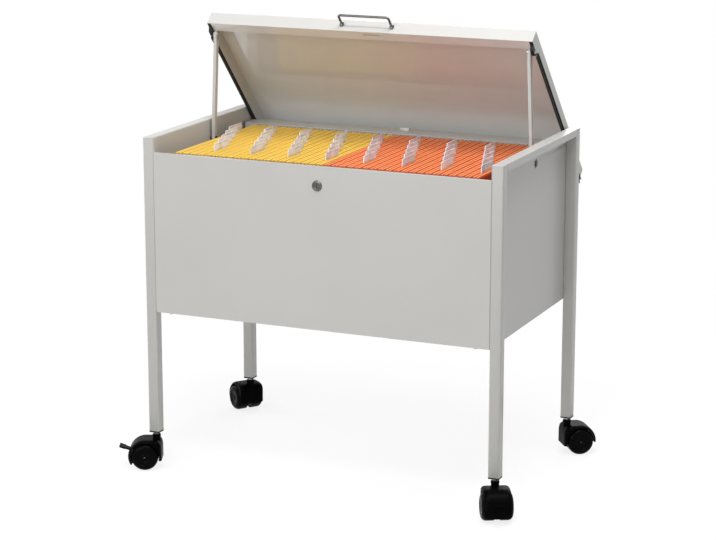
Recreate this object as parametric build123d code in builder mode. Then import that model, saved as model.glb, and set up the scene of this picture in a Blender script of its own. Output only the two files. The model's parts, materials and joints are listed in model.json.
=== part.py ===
from build123d import *
from math import asin, cos, degrees, hypot, radians, sin
import os

# Rolling file cart: a sheet-steel box on four square posts with castors.
# Its lid stands open on two swinging stays and hanging files fill the box.
# Millimetres, +Z up, +X to the right and the front towards -Y.
# The origin lies on the floor under the middle of everything at rest.

os.makedirs("parts", exist_ok=True)

# Frame
width = 683.0
depth = 407.5
post_size = 20.0
post_wall = 1.5
post_corner = 1.5
post_height = 547.0
castor_height = 71.0
frame_y = -19.5
rail_height = 13.0
rail_wall = 1.2
sheet = 1.0

# Box
panel_drop = 27.0
panel_height = 292.5
panel_gap = 0.8
front_rim = 8.0
bottom_rim = 13.0
side_rim = 10.0
shelf_gap = 8.0
shelf_lip = 16.0
shelf_side_gap = 1.0
notch_width = 15.0
notch_depth = 14.0
notch_height = 15.0
pan_gap = 0.4
pan_screw_inset = 27.0
screw_radius = 2.0
screw_head_radius = 3.6
screw_head_height = 2.2
screw_end = 1.0
rest_width = 19.0
rest_depth = 8.0
rest_height = 5.0
rest_inset = 6.0
rest_corner = 1.5

# Hanging rails and files
rail_spacing = 330.0
front_rail_inset = 17.75
hanger_thickness = 2.0
hanger_height = 16.0
hanger_drop = 4.0
hanger_end_gap = 22.5
hanger_tabs = 4
hanger_tab_width = 20.0
files_per_colour = 20
file_side_gap = 7.0
file_height = 240.0
file_half_thickness = 3.2
file_top_half = 4.7
ridge_width = 2.0
ridge_depth = 8.0
file_end_gap = 5.0
hook_thickness = 1.2
hook_height = 11.0
hook_tip = 4.5
hook_arm = 2.0
hook_drop = 1.0
hook_play = 0.3
strip_height = 6.0
strip_play = 0.1
strip_step = 1.0
tab_length = 56.0
tab_height = 13.0
tab_thickness = 2.0
tab_positions = 5
tab_step = 43.0
tab_inset = 40.0

# Lid and its linkage
lid_angle = 46.5
lid_gap = 0.75
lid_side_gap = 5.0
lid_sheet = 0.8
lid_bend = 2.0
lid_flange = 25.6
lid_front_return = 21.5
lid_rear_flange = 20.0
lid_rear_cut = 15.0
pivot_back = 26.0
pivot_down = 29.0
foot_offset = 18.6
foot_down = 36.0
stay_width = 10.0
stay_depth = 6.0
stay_wall = 1.2
stay_gap = 0.5
stay_splay = 6.5
crank_end = 20.0
pivot_radius = 2.5
pivot_play = 0.05
shoulder_radius = 2.9
rivet_head_radius = 4.2
rivet_head = 1.5
wall_hole_radius = 3.0
foot_head_radius = 4.5
bracket_start = 10.0
bracket_end = 34.0
bracket_depth = 7.9
bracket_toe = 1.0
bracket_lip = 1.0
bracket_slope = 6.0
bracket_corner = 4.0
guide_start = 34.5
guide_width = 3.0
guide_floor = 0.8
guide_wall = 1.1
guide_down = 28.6
guide_rise = 2.1
guide_play = 0.4
guide_pin_radius = 2.5

# Lock
lock_drop = 34.0
bezel_radius = 9.5
bezel_height = 2.5
bezel_round = 1.2
barrel_radius = 7.5
barrel_back = 8.0
lock_nut_radius = 11.0
lock_nut_height = 3.0
plug_radius = 5.0
plug_play = 0.05
key_slot_width = 1.2
key_slot_height = 6.4
key_slot_depth = 4.0
cam_thickness = 2.0
cam_width = 9.0
cam_reach = 43.0
cam_hub_radius = 6.0
cam_corner = 1.0
cam_nose = 5.4
cam_nose_side = 6.5
cam_window_left = 5.5
cam_window_right = 28.0
cam_window_play = 1.0

# Handle on the lid's front lip
handle_centres = 96.0
handle_reach = 25.0
handle_radius = 2.8
handle_bend = 7.0
handle_foot_radius = 5.0
handle_foot_height = 2.5
handle_down = 12.0

# Castors
stem_radius = 4.0
stem_play = 0.05
stem_bottom = 47.0
stem_reach = 40.0
stem_end_gap = 1.0
cap_flange = 2.5
cap_length = 44.0
cap_fit = 0.1
collar_radius = 5.5
collar_bottom = 65.5
collar_height = 2.0
neck_radius = 7.2
neck_top = 64.0
neck_root = 12.0
trail = 21.0
wheel_radius = 25.0
wheel_inner = 5.2
wheel_outer = 28.0
wheel_edge = 4.5
wheel_inner_edge = 1.0
wheel_face_radius = 18.5
wheel_face_depth = 0.8
wheel_pocket_inner = 9.0
wheel_pocket_outer = 20.0
wheel_pocket_depth = 10.0
axle_radius = 3.0
axle_play = 0.05
axle_half = 24.0
axle_bore_half = 24.6
hood_radius = 31.0
hood_half = 24.5
hood_clearance = 1.4
hood_shoulder = 8.5
web_half = 4.6
web_inset = 2.0
web_rise = 10.0
boss_radius = 8.0
lever_angle = 19.0
lever_hub_radius = 2.9
lever_pin_radius = 1.5
lever_pin_half = 10.5
lever_half = 7.0
lever_window_half = 7.3
lever_window_length = 11.6
lever_window_height = 14.5
lever_window_rise = 1.0
lever_thickness = 3.0
pedal_half = 10.0
pedal_tip = 47.5
pedal_root = 36.5
pedal_rise = 16.5

# Places worked out from the sizes
front_y = frame_y - depth / 2
back_y = frame_y + depth / 2
post_bottom = castor_height
rail_top = castor_height + post_height
panel_top = rail_top - panel_drop
panel_bottom = panel_top - panel_height
inner_half = width / 2 - post_size
wall_inner = inner_half - sheet
hanger_half = wall_inner - hanger_end_gap
file_pitch = (hanger_half - file_side_gap) / files_per_colour
front_inner_y = front_y + sheet
back_inner_y = back_y - sheet
front_rail_y = front_y + front_rail_inset
back_rail_y = front_rail_y + rail_spacing
hanger_top = panel_top - hanger_drop
shelf_front_y = back_rail_y + shelf_gap
lid_half = inner_half - lid_side_gap
lid_length = depth - 2 * lid_gap
foot_y = front_y + depth / 2 + foot_offset
foot_z = rail_top - foot_down
closed_pivot_y = front_y + lid_gap + pivot_back
closed_pivot_z = rail_top - pivot_down
stay_length = hypot(foot_y - closed_pivot_y, closed_pivot_z - foot_z)
pivot_y = foot_y
pivot_z = foot_z + stay_length
lean_cos = cos(radians(lid_angle))
lean_sin = sin(radians(lid_angle))
lid_y = pivot_y - pivot_back * lean_cos + pivot_down * lean_sin
lid_z = pivot_z + pivot_back * lean_sin + pivot_down * lean_cos
guide_pin_z = rail_top - guide_down
guide_pin_y = lid_y - (guide_down + lean_cos * (guide_pin_z - lid_z)) / lean_sin
stay_foot_outer = lid_half - stay_gap
stay_foot_inner = stay_foot_outer - stay_depth
stay_top_outer = stay_foot_outer - stay_splay
stay_top_inner = stay_top_outer - stay_depth
lock_z = panel_top - lock_drop
post_x = width / 2 - post_size / 2
post_y = depth / 2 - post_size / 2

# The lid's own plane: X to the right, Y rearwards along its top, Z out of it.
lid_plane = Plane(origin=(0, lid_y, lid_z), x_dir=(1, 0, 0), z_dir=(0, lean_sin, lean_cos))
lip_out = Vector(0, -lean_cos, lean_sin)


def lid_side(x):
    """Plane square to X whose own X runs back along the lid and own Y out of its top."""
    return Plane(origin=(x, lid_y, lid_z), x_dir=(0, lean_cos, -lean_sin), z_dir=(1, 0, 0))


def lid_point(x, back, down):
    """Place on the lid, so far behind its front edge and below its top."""
    return (x, lid_y + back * lean_cos - down * lean_sin, lid_z - back * lean_sin - down * lean_cos)


def bar(start, end, radius, mode=Mode.ADD):
    """Round bar between two places."""
    run = Vector(*end) - Vector(*start)
    with Locations(Plane(origin=start, z_dir=run)):
        Cylinder(radius, run.length, align=(Align.CENTER, Align.CENTER, Align.MIN), mode=mode)


def block(low, high, mode=Mode.ADD):
    """Square block between two opposite corners."""
    size = Vector(*high) - Vector(*low)
    middle = (Vector(*high) + Vector(*low)) / 2
    with Locations(middle):
        Box(abs(size.X), abs(size.Y), abs(size.Z), mode=mode)


def save(piece, name):
    """Label a finished piece and write it to a file of the same name."""
    piece.part.label = name
    export_step(piece.part, f"parts/{name}.step")


# Posts: square tubes closed at the top
def build_post(side, end):
    """One square post; side is -1 or 1 in X and end is -1 or 1 in Y."""
    with BuildPart() as post:
        with BuildSketch(Plane.XY.offset(post_bottom)):
            with Locations((side * post_x, frame_y + end * post_y)):
                RectangleRounded(post_size, post_size, post_corner)
        extrude(amount=post_height)
        with BuildSketch(Plane.XY.offset(post_bottom)):
            with Locations((side * post_x, frame_y + end * post_y)):
                Rectangle(post_size - 2 * post_wall, post_size - 2 * post_wall)
        extrude(amount=post_height - post_wall, mode=Mode.SUBTRACT)
    return post


# Plastic plugs in the post bottoms, bored for the castor stems
def build_cap(side, end):
    """One flanged plug with a blind bore for its castor stem."""
    inner = post_size - 2 * post_wall - 2 * cap_fit
    centre = (side * post_x, frame_y + end * post_y)
    with BuildPart() as cap:
        with BuildSketch(Plane.XY.offset(post_bottom)):
            with Locations(centre):
                RectangleRounded(inner, inner, post_corner / 2)
        extrude(amount=cap_length)
        with BuildSketch(Plane.XY.offset(post_bottom)):
            with Locations(centre):
                RectangleRounded(post_size, post_size, post_corner)
        extrude(amount=-cap_flange)
        low = (*centre, post_bottom - cap_flange)
        bar(low, (*centre, post_bottom + stem_reach + stem_end_gap), stem_radius + stem_play, Mode.SUBTRACT)
    return cap


sides = {"left": -1, "right": 1}
ends = {"front": -1, "back": 1}
for side_name, side in sides.items():
    for end_name, end in ends.items():
        post = build_post(side, end)
        save(post, f"{end_name}_{side_name}_post")

caps = [build_cap(side, end).part for side in sides.values() for end in ends.values()]
with BuildPart() as post_caps:
    add(caps)
save(post_caps, "post_caps")

# Side rails between the post tops
for side_name, side in sides.items():
    with BuildPart() as side_rail:
        with BuildSketch(Plane.XZ.offset(-(front_y + post_size))):
            with Locations((side * post_x, rail_top - rail_height / 2)):
                Rectangle(post_size, rail_height)
                Rectangle(post_size - 2 * rail_wall, rail_height - 2 * rail_wall, mode=Mode.SUBTRACT)
        extrude(amount=-(depth - 2 * post_size))
    save(side_rail, f"{side_name}_top_rail")

# Front panel, folded back at its top and bottom
front_half = inner_half - panel_gap
with BuildPart() as front_panel:
    with BuildSketch(Plane.YZ):
        with BuildLine():
            Polyline(
                (front_y, panel_bottom),
                (front_y + bottom_rim, panel_bottom),
                (front_y + bottom_rim, panel_bottom + sheet),
                (front_inner_y, panel_bottom + sheet),
                (front_inner_y, panel_top - sheet),
                (front_y + front_rim, panel_top - sheet),
                (front_y + front_rim, panel_top),
                (front_y, panel_top),
                close=True,
            )
        make_face()
    extrude(amount=front_half, both=True)
    bar((0, front_y, lock_z), (0, front_inner_y, lock_z), barrel_radius, Mode.SUBTRACT)
    for side in sides.values():
        # The folded rims stop at the side walls
        wall_corner = (side * wall_inner, front_inner_y, panel_bottom - sheet)
        block(wall_corner, (side * inner_half, front_y + post_size, panel_top + sheet), Mode.SUBTRACT)
        x = side * (front_half - pan_screw_inset)
        screw_y = front_y + bottom_rim / 2
        bar((x, screw_y, panel_bottom), (x, screw_y, panel_bottom + sheet), screw_radius, Mode.SUBTRACT)
save(front_panel, "front_panel")

# Rear panel with a shelf at its top, notched where the lid's sides dip past it
with BuildPart() as rear_panel:
    with BuildSketch(Plane.YZ):
        with BuildLine():
            Polyline(
                (back_y, panel_bottom),
                (back_y, panel_top),
                (shelf_front_y, panel_top),
                (shelf_front_y, panel_top - shelf_lip),
                (shelf_front_y + sheet, panel_top - shelf_lip),
                (shelf_front_y + sheet, panel_top - sheet),
                (back_inner_y, panel_top - sheet),
                (back_inner_y, panel_bottom + sheet),
                (back_y - bottom_rim, panel_bottom + sheet),
                (back_y - bottom_rim, panel_bottom),
                close=True,
            )
        make_face()
    extrude(amount=front_half, both=True)
    for side in sides.values():
        inner_corner = (side * (inner_half - notch_width), back_y - notch_depth, panel_top - notch_height)
        block(inner_corner, (side * inner_half, back_y + sheet, panel_top + sheet), Mode.SUBTRACT)
        # The shelf ends short of the lid's guides, and the rims stop at the side walls
        shelf_corner = (side * (lid_half - shelf_side_gap), shelf_front_y, panel_top - shelf_lip - sheet)
        block(shelf_corner, (side * inner_half, back_inner_y, panel_top + sheet), Mode.SUBTRACT)
        wall_corner = (side * wall_inner, shelf_front_y, panel_bottom - sheet)
        block(wall_corner, (side * inner_half, back_inner_y, panel_top + sheet), Mode.SUBTRACT)
        x = side * (front_half - pan_screw_inset)
        screw_y = back_y - bottom_rim / 2
        bar((x, screw_y, panel_bottom), (x, screw_y, panel_bottom + sheet), screw_radius, Mode.SUBTRACT)
save(rear_panel, "rear_panel")

# Side walls, inside the posts and folded in at the bottom
for side_name, side in sides.items():
    with BuildPart() as side_wall:
        low = (side * wall_inner, front_inner_y, panel_bottom)
        block(low, (side * inner_half, back_inner_y, rail_top - sheet))
        rim_low = (side * (wall_inner - side_rim), front_y + bottom_rim + sheet, panel_bottom)
        block(rim_low, (side * wall_inner, back_y - bottom_rim - sheet, panel_bottom + sheet))
        for y, z, radius in ((foot_y, foot_z, wall_hole_radius), (guide_pin_y, guide_pin_z, screw_radius)):
            bar((side * wall_inner, y, z), (side * inner_half, y, z), radius, Mode.SUBTRACT)
    save(side_wall, f"{side_name}_wall")

# Bottom sheet, lying on the folded rims
pan_half = wall_inner - pan_gap
with BuildPart() as bottom_sheet:
    low = (-pan_half, front_inner_y + pan_gap, panel_bottom + sheet)
    block(low, (pan_half, back_inner_y - pan_gap, panel_bottom + 2 * sheet))
    for x in (-front_half + pan_screw_inset, front_half - pan_screw_inset):
        for y in (front_y + bottom_rim / 2, back_y - bottom_rim / 2):
            top = (x, y, panel_bottom + 2 * sheet)
            bar((x, y, panel_bottom + sheet), top, screw_radius, Mode.SUBTRACT)
save(bottom_sheet, "bottom_sheet")

# Screws up through the rims into the bottom sheet, four alike
with BuildPart() as bottom_screws:
    for x in (-front_half + pan_screw_inset, front_half - pan_screw_inset):
        for y in (front_y + bottom_rim / 2, back_y - bottom_rim / 2):
            head_low = (x, y, panel_bottom - screw_head_height)
            bar(head_low, (x, y, panel_bottom), screw_head_radius)
            bar((x, y, panel_bottom), (x, y, panel_bottom + 2 * sheet + screw_end), screw_radius)
save(bottom_screws, "bottom_screws")

# Hanging rails for the files, each on short lugs from the sheet beside it
hanger_bottom = hanger_top - hanger_height
rail_lugs = {
    "front_hanging_rail": (front_rail_y, front_inner_y),
    "rear_hanging_rail": (back_rail_y, shelf_front_y),
}
for name, (rail_y, lug_y) in rail_lugs.items():
    with BuildPart() as hanging_rail:
        low = (-hanger_half, rail_y - hanger_thickness / 2, hanger_bottom)
        block(low, (hanger_half, rail_y + hanger_thickness / 2, hanger_top))
        lug_pitch = 2 * (hanger_half - hanger_tab_width) / (hanger_tabs - 1)
        for index in range(hanger_tabs):
            x = -hanger_half + hanger_tab_width + index * lug_pitch
            lug_low = (x - hanger_tab_width / 2, lug_y, hanger_bottom)
            block(lug_low, (x + hanger_tab_width / 2, rail_y, hanger_bottom + sheet))
    save(hanging_rail, name)

# Small rest block on the shelf
with BuildPart() as lid_rest:
    with BuildSketch(Plane.XY.offset(panel_top)):
        with Locations((0, back_y - rest_inset - rest_depth / 2)):
            RectangleRounded(rest_width, rest_depth, rest_corner)
    extrude(amount=rest_height)
save(lid_rest, "lid_rest_block")


# Hanging files: a folded card with papers, held along both ridges by steel strips
hook_x = file_top_half - ridge_width / 2
strip_top = panel_top - hook_drop
strip_bottom = strip_top - strip_height
card_front = front_rail_y + file_end_gap
card_back = back_rail_y - file_end_gap


def build_file():
    """One file's card at X = 0, with a pocket along each ridge for its strip."""
    top = panel_top
    bottom = top - file_height
    with BuildPart() as file:
        with BuildSketch(Plane.XZ.offset(-card_front)):
            with BuildLine():
                Polyline(
                    (-file_half_thickness, bottom + file_half_thickness),
                    (0, bottom),
                    (file_half_thickness, bottom + file_half_thickness),
                    (file_half_thickness, top - 2 * ridge_depth),
                    (file_top_half, top - ridge_depth),
                    (file_top_half, top),
                    (file_top_half - ridge_width, top),
                    (0, top - ridge_depth),
                    (ridge_width - file_top_half, top),
                    (-file_top_half, top),
                    (-file_top_half, top - ridge_depth),
                    (-file_half_thickness, top - 2 * ridge_depth),
                    close=True,
                )
            make_face()
            with Locations((-hook_x, (strip_top + strip_bottom - strip_play) / 2),
                           (hook_x, (strip_top + strip_bottom - strip_play) / 2)):
                Rectangle(hook_thickness + 2 * strip_play, strip_height + strip_play, mode=Mode.SUBTRACT)
        extrude(amount=-(card_back - card_front))
    return file


def build_strips():
    """The two steel strips of one file, with a hook over the hanging rail at each end."""
    half = hanger_thickness / 2 + hook_play
    hook_bottom = panel_top - hook_height
    front_end = [
        (front_rail_y - half - hook_tip, strip_top),
        (front_rail_y - half - hook_tip, hook_bottom + hook_arm),
        (front_rail_y - half, hook_bottom + hook_arm),
        (front_rail_y - half, hanger_top),
        (front_rail_y + half, hanger_top),
        (front_rail_y + half, hook_bottom),
        (card_front - strip_step, hook_bottom),
        (card_front - strip_step, strip_bottom),
    ]
    back_end = [(front_rail_y + back_rail_y - y, z) for y, z in reversed(front_end)]
    with BuildPart() as strips:
        for x in (-hook_x, hook_x):
            with BuildSketch(Plane.YZ.offset(x)):
                with BuildLine():
                    Polyline(*front_end, *back_end, close=True)
                make_face()
            extrude(amount=hook_thickness / 2, both=True)
    return strips


one_file = build_file()
one_pair = build_strips()
file_rows = {"yellow_file": -1, "orange_file": 1}
for name, side in file_rows.items():
    first = (side - 1) / 2 * files_per_colour * file_pitch + file_pitch / 2
    copies = [Location((first + index * file_pitch, 0, 0)) for index in range(files_per_colour)]
    with BuildPart() as files:
        add([one_file.part.moved(place) for place in copies])
    save(files, f"{name}s")
    with BuildPart() as hangers:
        add([one_pair.part.moved(place) for place in copies])
    save(hangers, f"{name}_hangers")

# Index tabs, one on each file, stepping back one place from file to file
tab_rows = {"yellow_file_tabs": -1, "orange_file_tabs": 1}
for name, side in tab_rows.items():
    first = (side - 1) / 2 * files_per_colour * file_pitch + file_pitch / 2
    with BuildPart() as tabs:
        for index in range(files_per_colour):
            place = (files_per_colour - 1 - index) % tab_positions
            x = first + index * file_pitch - file_top_half + ridge_width / 2
            y = front_rail_y + tab_inset + place * tab_step
            low = (x - tab_thickness / 2, y, panel_top)
            block(low, (x + tab_thickness / 2, y + tab_length, panel_top + tab_height))
    save(tabs, name)

# Lid: a shallow pressed tray, folded under at its front
with BuildPart() as lid_shell:
    with BuildSketch(lid_plane):
        with Locations((0, lid_length / 2)):
            Rectangle(2 * lid_half, lid_length)
    extrude(amount=-lid_flange)
    top_face = lid_shell.faces().sort_by(Axis(lid_plane.origin, lid_plane.z_dir))[-1]
    fillet(top_face.edges(), lid_bend)
    with BuildSketch(lid_plane.offset(-lid_sheet)):
        with Locations((0, lid_length / 2)):
            Rectangle(2 * (lid_half - lid_sheet), lid_length - 2 * lid_sheet)
    extrude(amount=-(lid_flange - 2 * lid_sheet), mode=Mode.SUBTRACT)
    mouth_end = lid_length - lid_sheet
    with BuildSketch(lid_plane.offset(-lid_flange)):
        with Locations((0, (lid_front_return + mouth_end) / 2)):
            Rectangle(2 * (lid_half - lid_sheet), mouth_end - lid_front_return)
    extrude(amount=2 * lid_sheet, mode=Mode.SUBTRACT)
    # The rear flange is shorter than the sides
    with BuildSketch(lid_plane.offset(-lid_flange)):
        with Locations((0, lid_length)):
            Rectangle(2 * (lid_half - lid_sheet), lid_rear_cut)
    extrude(amount=lid_flange - lid_rear_flange, mode=Mode.SUBTRACT)
    # Window for the cam in the front return
    window_low = barrel_back - lid_gap - cam_window_play
    window_high = barrel_back + cam_thickness - lid_gap + cam_window_play
    with BuildSketch(lid_plane.offset(-lid_flange)):
        with Locations(((cam_window_right - cam_window_left) / 2, (window_low + window_high) / 2)):
            Rectangle(cam_window_right + cam_window_left, window_high - window_low)
    extrude(amount=2 * lid_sheet, mode=Mode.SUBTRACT)
    for x in (-handle_centres / 2, handle_centres / 2):
        inside = lid_point(x, lid_sheet * 2, handle_down)
        bar(lid_point(x, -lid_sheet, handle_down), inside, screw_radius, Mode.SUBTRACT)
save(lid_shell, "lid_shell")

# Stays: pressed channels that carry the lid's front corners, cranked outwards towards the foot
def stay_bar(side, skin):
    """Cranked bar, round about both pivots, drawn in by a skin except at its outer face."""
    with BuildPart() as piece:
        with BuildSketch(Plane.XZ.offset(-foot_y)):
            with BuildLine():
                Polyline(
                    (side * (stay_foot_inner + skin), foot_z - stay_width),
                    (side * (stay_foot_inner + skin), foot_z + crank_end),
                    (side * (stay_top_inner + skin), pivot_z - crank_end),
                    (side * (stay_top_inner + skin), pivot_z + stay_width),
                    (side * stay_top_outer, pivot_z + stay_width),
                    (side * stay_top_outer, pivot_z - crank_end),
                    (side * stay_foot_outer, foot_z + crank_end),
                    (side * stay_foot_outer, foot_z - stay_width),
                    close=True,
                )
            make_face()
        extrude(amount=stay_width, both=True)
        with BuildSketch(Plane.YZ):
            with Locations((foot_y, (foot_z + pivot_z) / 2)):
                SlotCenterToCenter(stay_length, stay_width - 2 * skin, rotation=90)
        extrude(amount=side * width / 2, mode=Mode.INTERSECT)
    return piece


for side_name, side in sides.items():
    shell = stay_bar(side, 0)
    pocket = stay_bar(side, stay_wall)
    with BuildPart() as stay:
        add(shell.part)
        add(pocket.part, mode=Mode.SUBTRACT)
        foot_outside = (side * stay_foot_outer, foot_y, foot_z)
        bar((side * stay_foot_inner, foot_y, foot_z), foot_outside, pivot_radius + pivot_play, Mode.SUBTRACT)
        top_outside = (side * stay_top_outer, pivot_y, pivot_z)
        bar((side * stay_top_inner, pivot_y, pivot_z), top_outside, pivot_radius + pivot_play, Mode.SUBTRACT)
    save(stay, f"{side_name}_stay")

# Shouldered bolts at the stay feet, through the side walls
web_face = stay_foot_inner + stay_wall
with BuildPart() as stay_foot_bolts:
    for side in sides.values():
        steps = (
            (inner_half + rivet_head, inner_half, foot_head_radius),
            (inner_half, wall_inner, wall_hole_radius),
            (wall_inner, web_face + pivot_play, shoulder_radius),
            (web_face + pivot_play, stay_foot_inner - pivot_play, pivot_radius),
            (stay_foot_inner - pivot_play, stay_foot_inner - pivot_play - rivet_head, rivet_head_radius),
        )
        for x_from, x_to, radius in steps:
            bar((side * x_from, foot_y, foot_z), (side * x_to, foot_y, foot_z), radius)
save(stay_foot_bolts, "stay_foot_bolts")

# Plastic corner brackets under the lid's front corners
bracket_inner = stay_top_outer + stay_gap
for side_name, side in sides.items():
    with BuildPart() as bracket:
        with BuildSketch(lid_side(side * bracket_inner)):
            with BuildLine():
                Polyline(
                    (bracket_toe, -lid_flange),
                    (bracket_toe, -lid_flange - bracket_lip),
                    (bracket_start, -lid_flange - bracket_lip),
                    (bracket_start + bracket_slope, -lid_flange - bracket_depth),
                    (bracket_end - bracket_corner, -lid_flange - bracket_depth),
                    (bracket_end, -lid_flange - bracket_depth + bracket_corner),
                    (bracket_end, -lid_flange),
                    close=True,
                )
            make_face()
        extrude(amount=side * (lid_half - bracket_inner))
        start = lid_point(side * bracket_inner, pivot_back, pivot_down)
        end = lid_point(side * lid_half, pivot_back, pivot_down)
        bar(start, end, pivot_radius, Mode.SUBTRACT)
    save(bracket, f"{side_name}_lid_bracket")

# Rivets from the brackets through the stay tops
with BuildPart() as stay_top_rivets:
    for side in sides.values():
        steps = (
            (lid_half, stay_top_inner - pivot_play, pivot_radius),
            (stay_top_inner - pivot_play, stay_top_inner - pivot_play - rivet_head, rivet_head_radius),
        )
        for x_from, x_to, radius in steps:
            start = lid_point(side * x_from, pivot_back, pivot_down)
            bar(start, lid_point(side * x_to, pivot_back, pivot_down), radius)
save(stay_top_rivets, "stay_top_rivets")

# Plastic guide strips on the outside of the lid's sides, grooved for the pins
groove_top = guide_down - guide_pin_radius - guide_rise
groove_bottom = guide_down + guide_pin_radius + guide_play
for side_name, side in sides.items():
    with BuildPart() as guide:
        with BuildSketch(lid_side(side * lid_half)):
            with Locations(((guide_start + lid_length) / 2, -(groove_top + groove_bottom) / 2)):
                Rectangle(lid_length - guide_start, groove_bottom - groove_top + 2 * guide_wall)
        extrude(amount=side * guide_width)
        with BuildSketch(lid_side(side * (lid_half + guide_floor))):
            groove_start = guide_start + guide_wall
            with Locations(((groove_start + lid_length) / 2, -(groove_top + groove_bottom) / 2)):
                Rectangle(lid_length - groove_start, groove_bottom - groove_top)
        extrude(amount=side * guide_width, mode=Mode.SUBTRACT)
    save(guide, f"{side_name}_lid_guide")

# Fixed pins that the guides slide over
with BuildPart() as guide_pins:
    for side in sides.values():
        tip = (side * (lid_half + guide_floor + guide_play), guide_pin_y, guide_pin_z)
        bar(tip, (side * wall_inner, guide_pin_y, guide_pin_z), guide_pin_radius)
        shank_end = (side * inner_half, guide_pin_y, guide_pin_z)
        bar((side * wall_inner, guide_pin_y, guide_pin_z), shank_end, screw_radius)
save(guide_pins, "guide_pins")

# Lock: barrel with bezel, nut behind the panel, turning plug and hooked cam
barrel_end_y = front_y + barrel_back
with BuildPart() as lock_barrel:
    bar((0, front_y - bezel_height, lock_z), (0, front_y, lock_z), bezel_radius)
    bezel_rim = lock_barrel.faces().sort_by(Axis.Y)[0].edges()
    fillet(bezel_rim, bezel_round)
    bar((0, front_y, lock_z), (0, barrel_end_y, lock_z), barrel_radius)
    front = (0, front_y - bezel_height, lock_z)
    bar(front, (0, barrel_end_y, lock_z), plug_radius + plug_play, Mode.SUBTRACT)
save(lock_barrel, "lock_barrel")

with BuildPart() as lock_nut:
    with BuildSketch(Plane.XZ.offset(-front_inner_y)):
        with Locations((0, lock_z)):
            RegularPolygon(lock_nut_radius, 6)
            Circle(barrel_radius, mode=Mode.SUBTRACT)
    extrude(amount=-lock_nut_height)
save(lock_nut, "lock_nut")

with BuildPart() as lock_plug:
    bar((0, front_y - bezel_height, lock_z), (0, barrel_end_y, lock_z), plug_radius)
    slot_low = (-key_slot_width / 2, front_y - bezel_height, lock_z - key_slot_height / 2)
    slot_high = (key_slot_width / 2, front_y - bezel_height + key_slot_depth, lock_z + key_slot_height / 2)
    block(slot_low, slot_high, Mode.SUBTRACT)
save(lock_plug, "lock_plug")

with BuildPart() as lock_cam:
    with BuildSketch(Plane.XZ.offset(-barrel_end_y)):
        with BuildLine():
            Polyline(
                (0, lock_z - cam_width / 2),
                (cam_reach - cam_corner, lock_z - cam_width / 2),
                (cam_reach, lock_z + cam_width / 2),
                (cam_reach, lock_z + cam_width / 2 + cam_nose_side - cam_corner),
                (cam_reach - cam_corner, lock_z + cam_width / 2 + cam_nose_side),
                (cam_reach - cam_nose, lock_z + cam_width / 2 + cam_nose_side),
                (cam_reach - cam_nose, lock_z + cam_width / 2),
                (0, lock_z + cam_width / 2),
                close=True,
            )
        make_face()
        with Locations((0, lock_z)):
            Circle(cam_hub_radius)
    extrude(amount=-cam_thickness)
save(lock_cam, "lock_cam")

# Handle: a bent rod on two round feet, screwed to the lid's front lip
foot_centre = lid_point(0, 0, handle_down)
handle_plane = Plane(origin=foot_centre, x_dir=(1, 0, 0), z_dir=(0, -lean_sin, -lean_cos))
half_span = handle_centres / 2
with BuildPart() as handle:
    with BuildLine(handle_plane) as handle_line:
        FilletPolyline(
            (-half_span, 0),
            (-half_span, handle_reach),
            (half_span, handle_reach),
            (half_span, 0),
            radius=handle_bend,
        )
    with BuildSketch(Plane(origin=handle_line.line @ 0, z_dir=lip_out)):
        Circle(handle_radius)
    sweep(path=handle_line.line)
    for x in (-half_span, half_span):
        foot = lid_point(x, 0, handle_down)
        bar(foot, lid_point(x, -handle_foot_height, handle_down), handle_foot_radius)
        bar(foot, lid_point(x, -2 * handle_foot_height, handle_down), screw_radius, Mode.SUBTRACT)
save(handle, "lid_handle")

with BuildPart() as handle_screws:
    for x in (-half_span, half_span):
        head = lid_point(x, lid_sheet + screw_head_height, handle_down)
        bar(head, lid_point(x, lid_sheet, handle_down), screw_head_radius)
        tip = lid_point(x, -2 * handle_foot_height, handle_down)
        bar(lid_point(x, lid_sheet, handle_down), tip, screw_radius)
save(handle_screws, "handle_screws")

# Castors: name, side, end, the way each one trails in degrees from +X, and whether it has a brake
castors = (
    ("front_left", -1, -1, 203.0, True),
    ("front_right", 1, -1, 298.0, True),
    ("back_left", -1, 1, 142.0, False),
    ("back_right", 1, 1, 36.0, False),
)


class CastorPlace:
    """Where one castor stands and which way it trails."""

    def __init__(self, side, end, heading):
        self.x = side * post_x
        self.y = frame_y + end * post_y
        self.ahead = Vector(cos(radians(heading)), sin(radians(heading)), 0)
        self.across = Vector(self.ahead.Y, -self.ahead.X, 0)
        self.side_plane = Plane(origin=(self.x, self.y, 0), x_dir=self.ahead, z_dir=self.across)
        self.end_plane = Plane(origin=(self.x, self.y, 0), x_dir=self.across, z_dir=-self.ahead)

    def point(self, ahead, across, up):
        """Place given along the trail, along the axle and above the floor."""
        place = Vector(self.x, self.y, up) + self.ahead * ahead + self.across * across
        return (place.X, place.Y, place.Z)


lever_radius = (hood_radius + wheel_radius + hood_clearance) / 2
lever_ahead = trail + lever_radius * cos(radians(lever_angle))
lever_up = wheel_radius + lever_radius * sin(radians(lever_angle))
hood_top = wheel_radius + hood_radius
hood_back = trail - hood_radius


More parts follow.
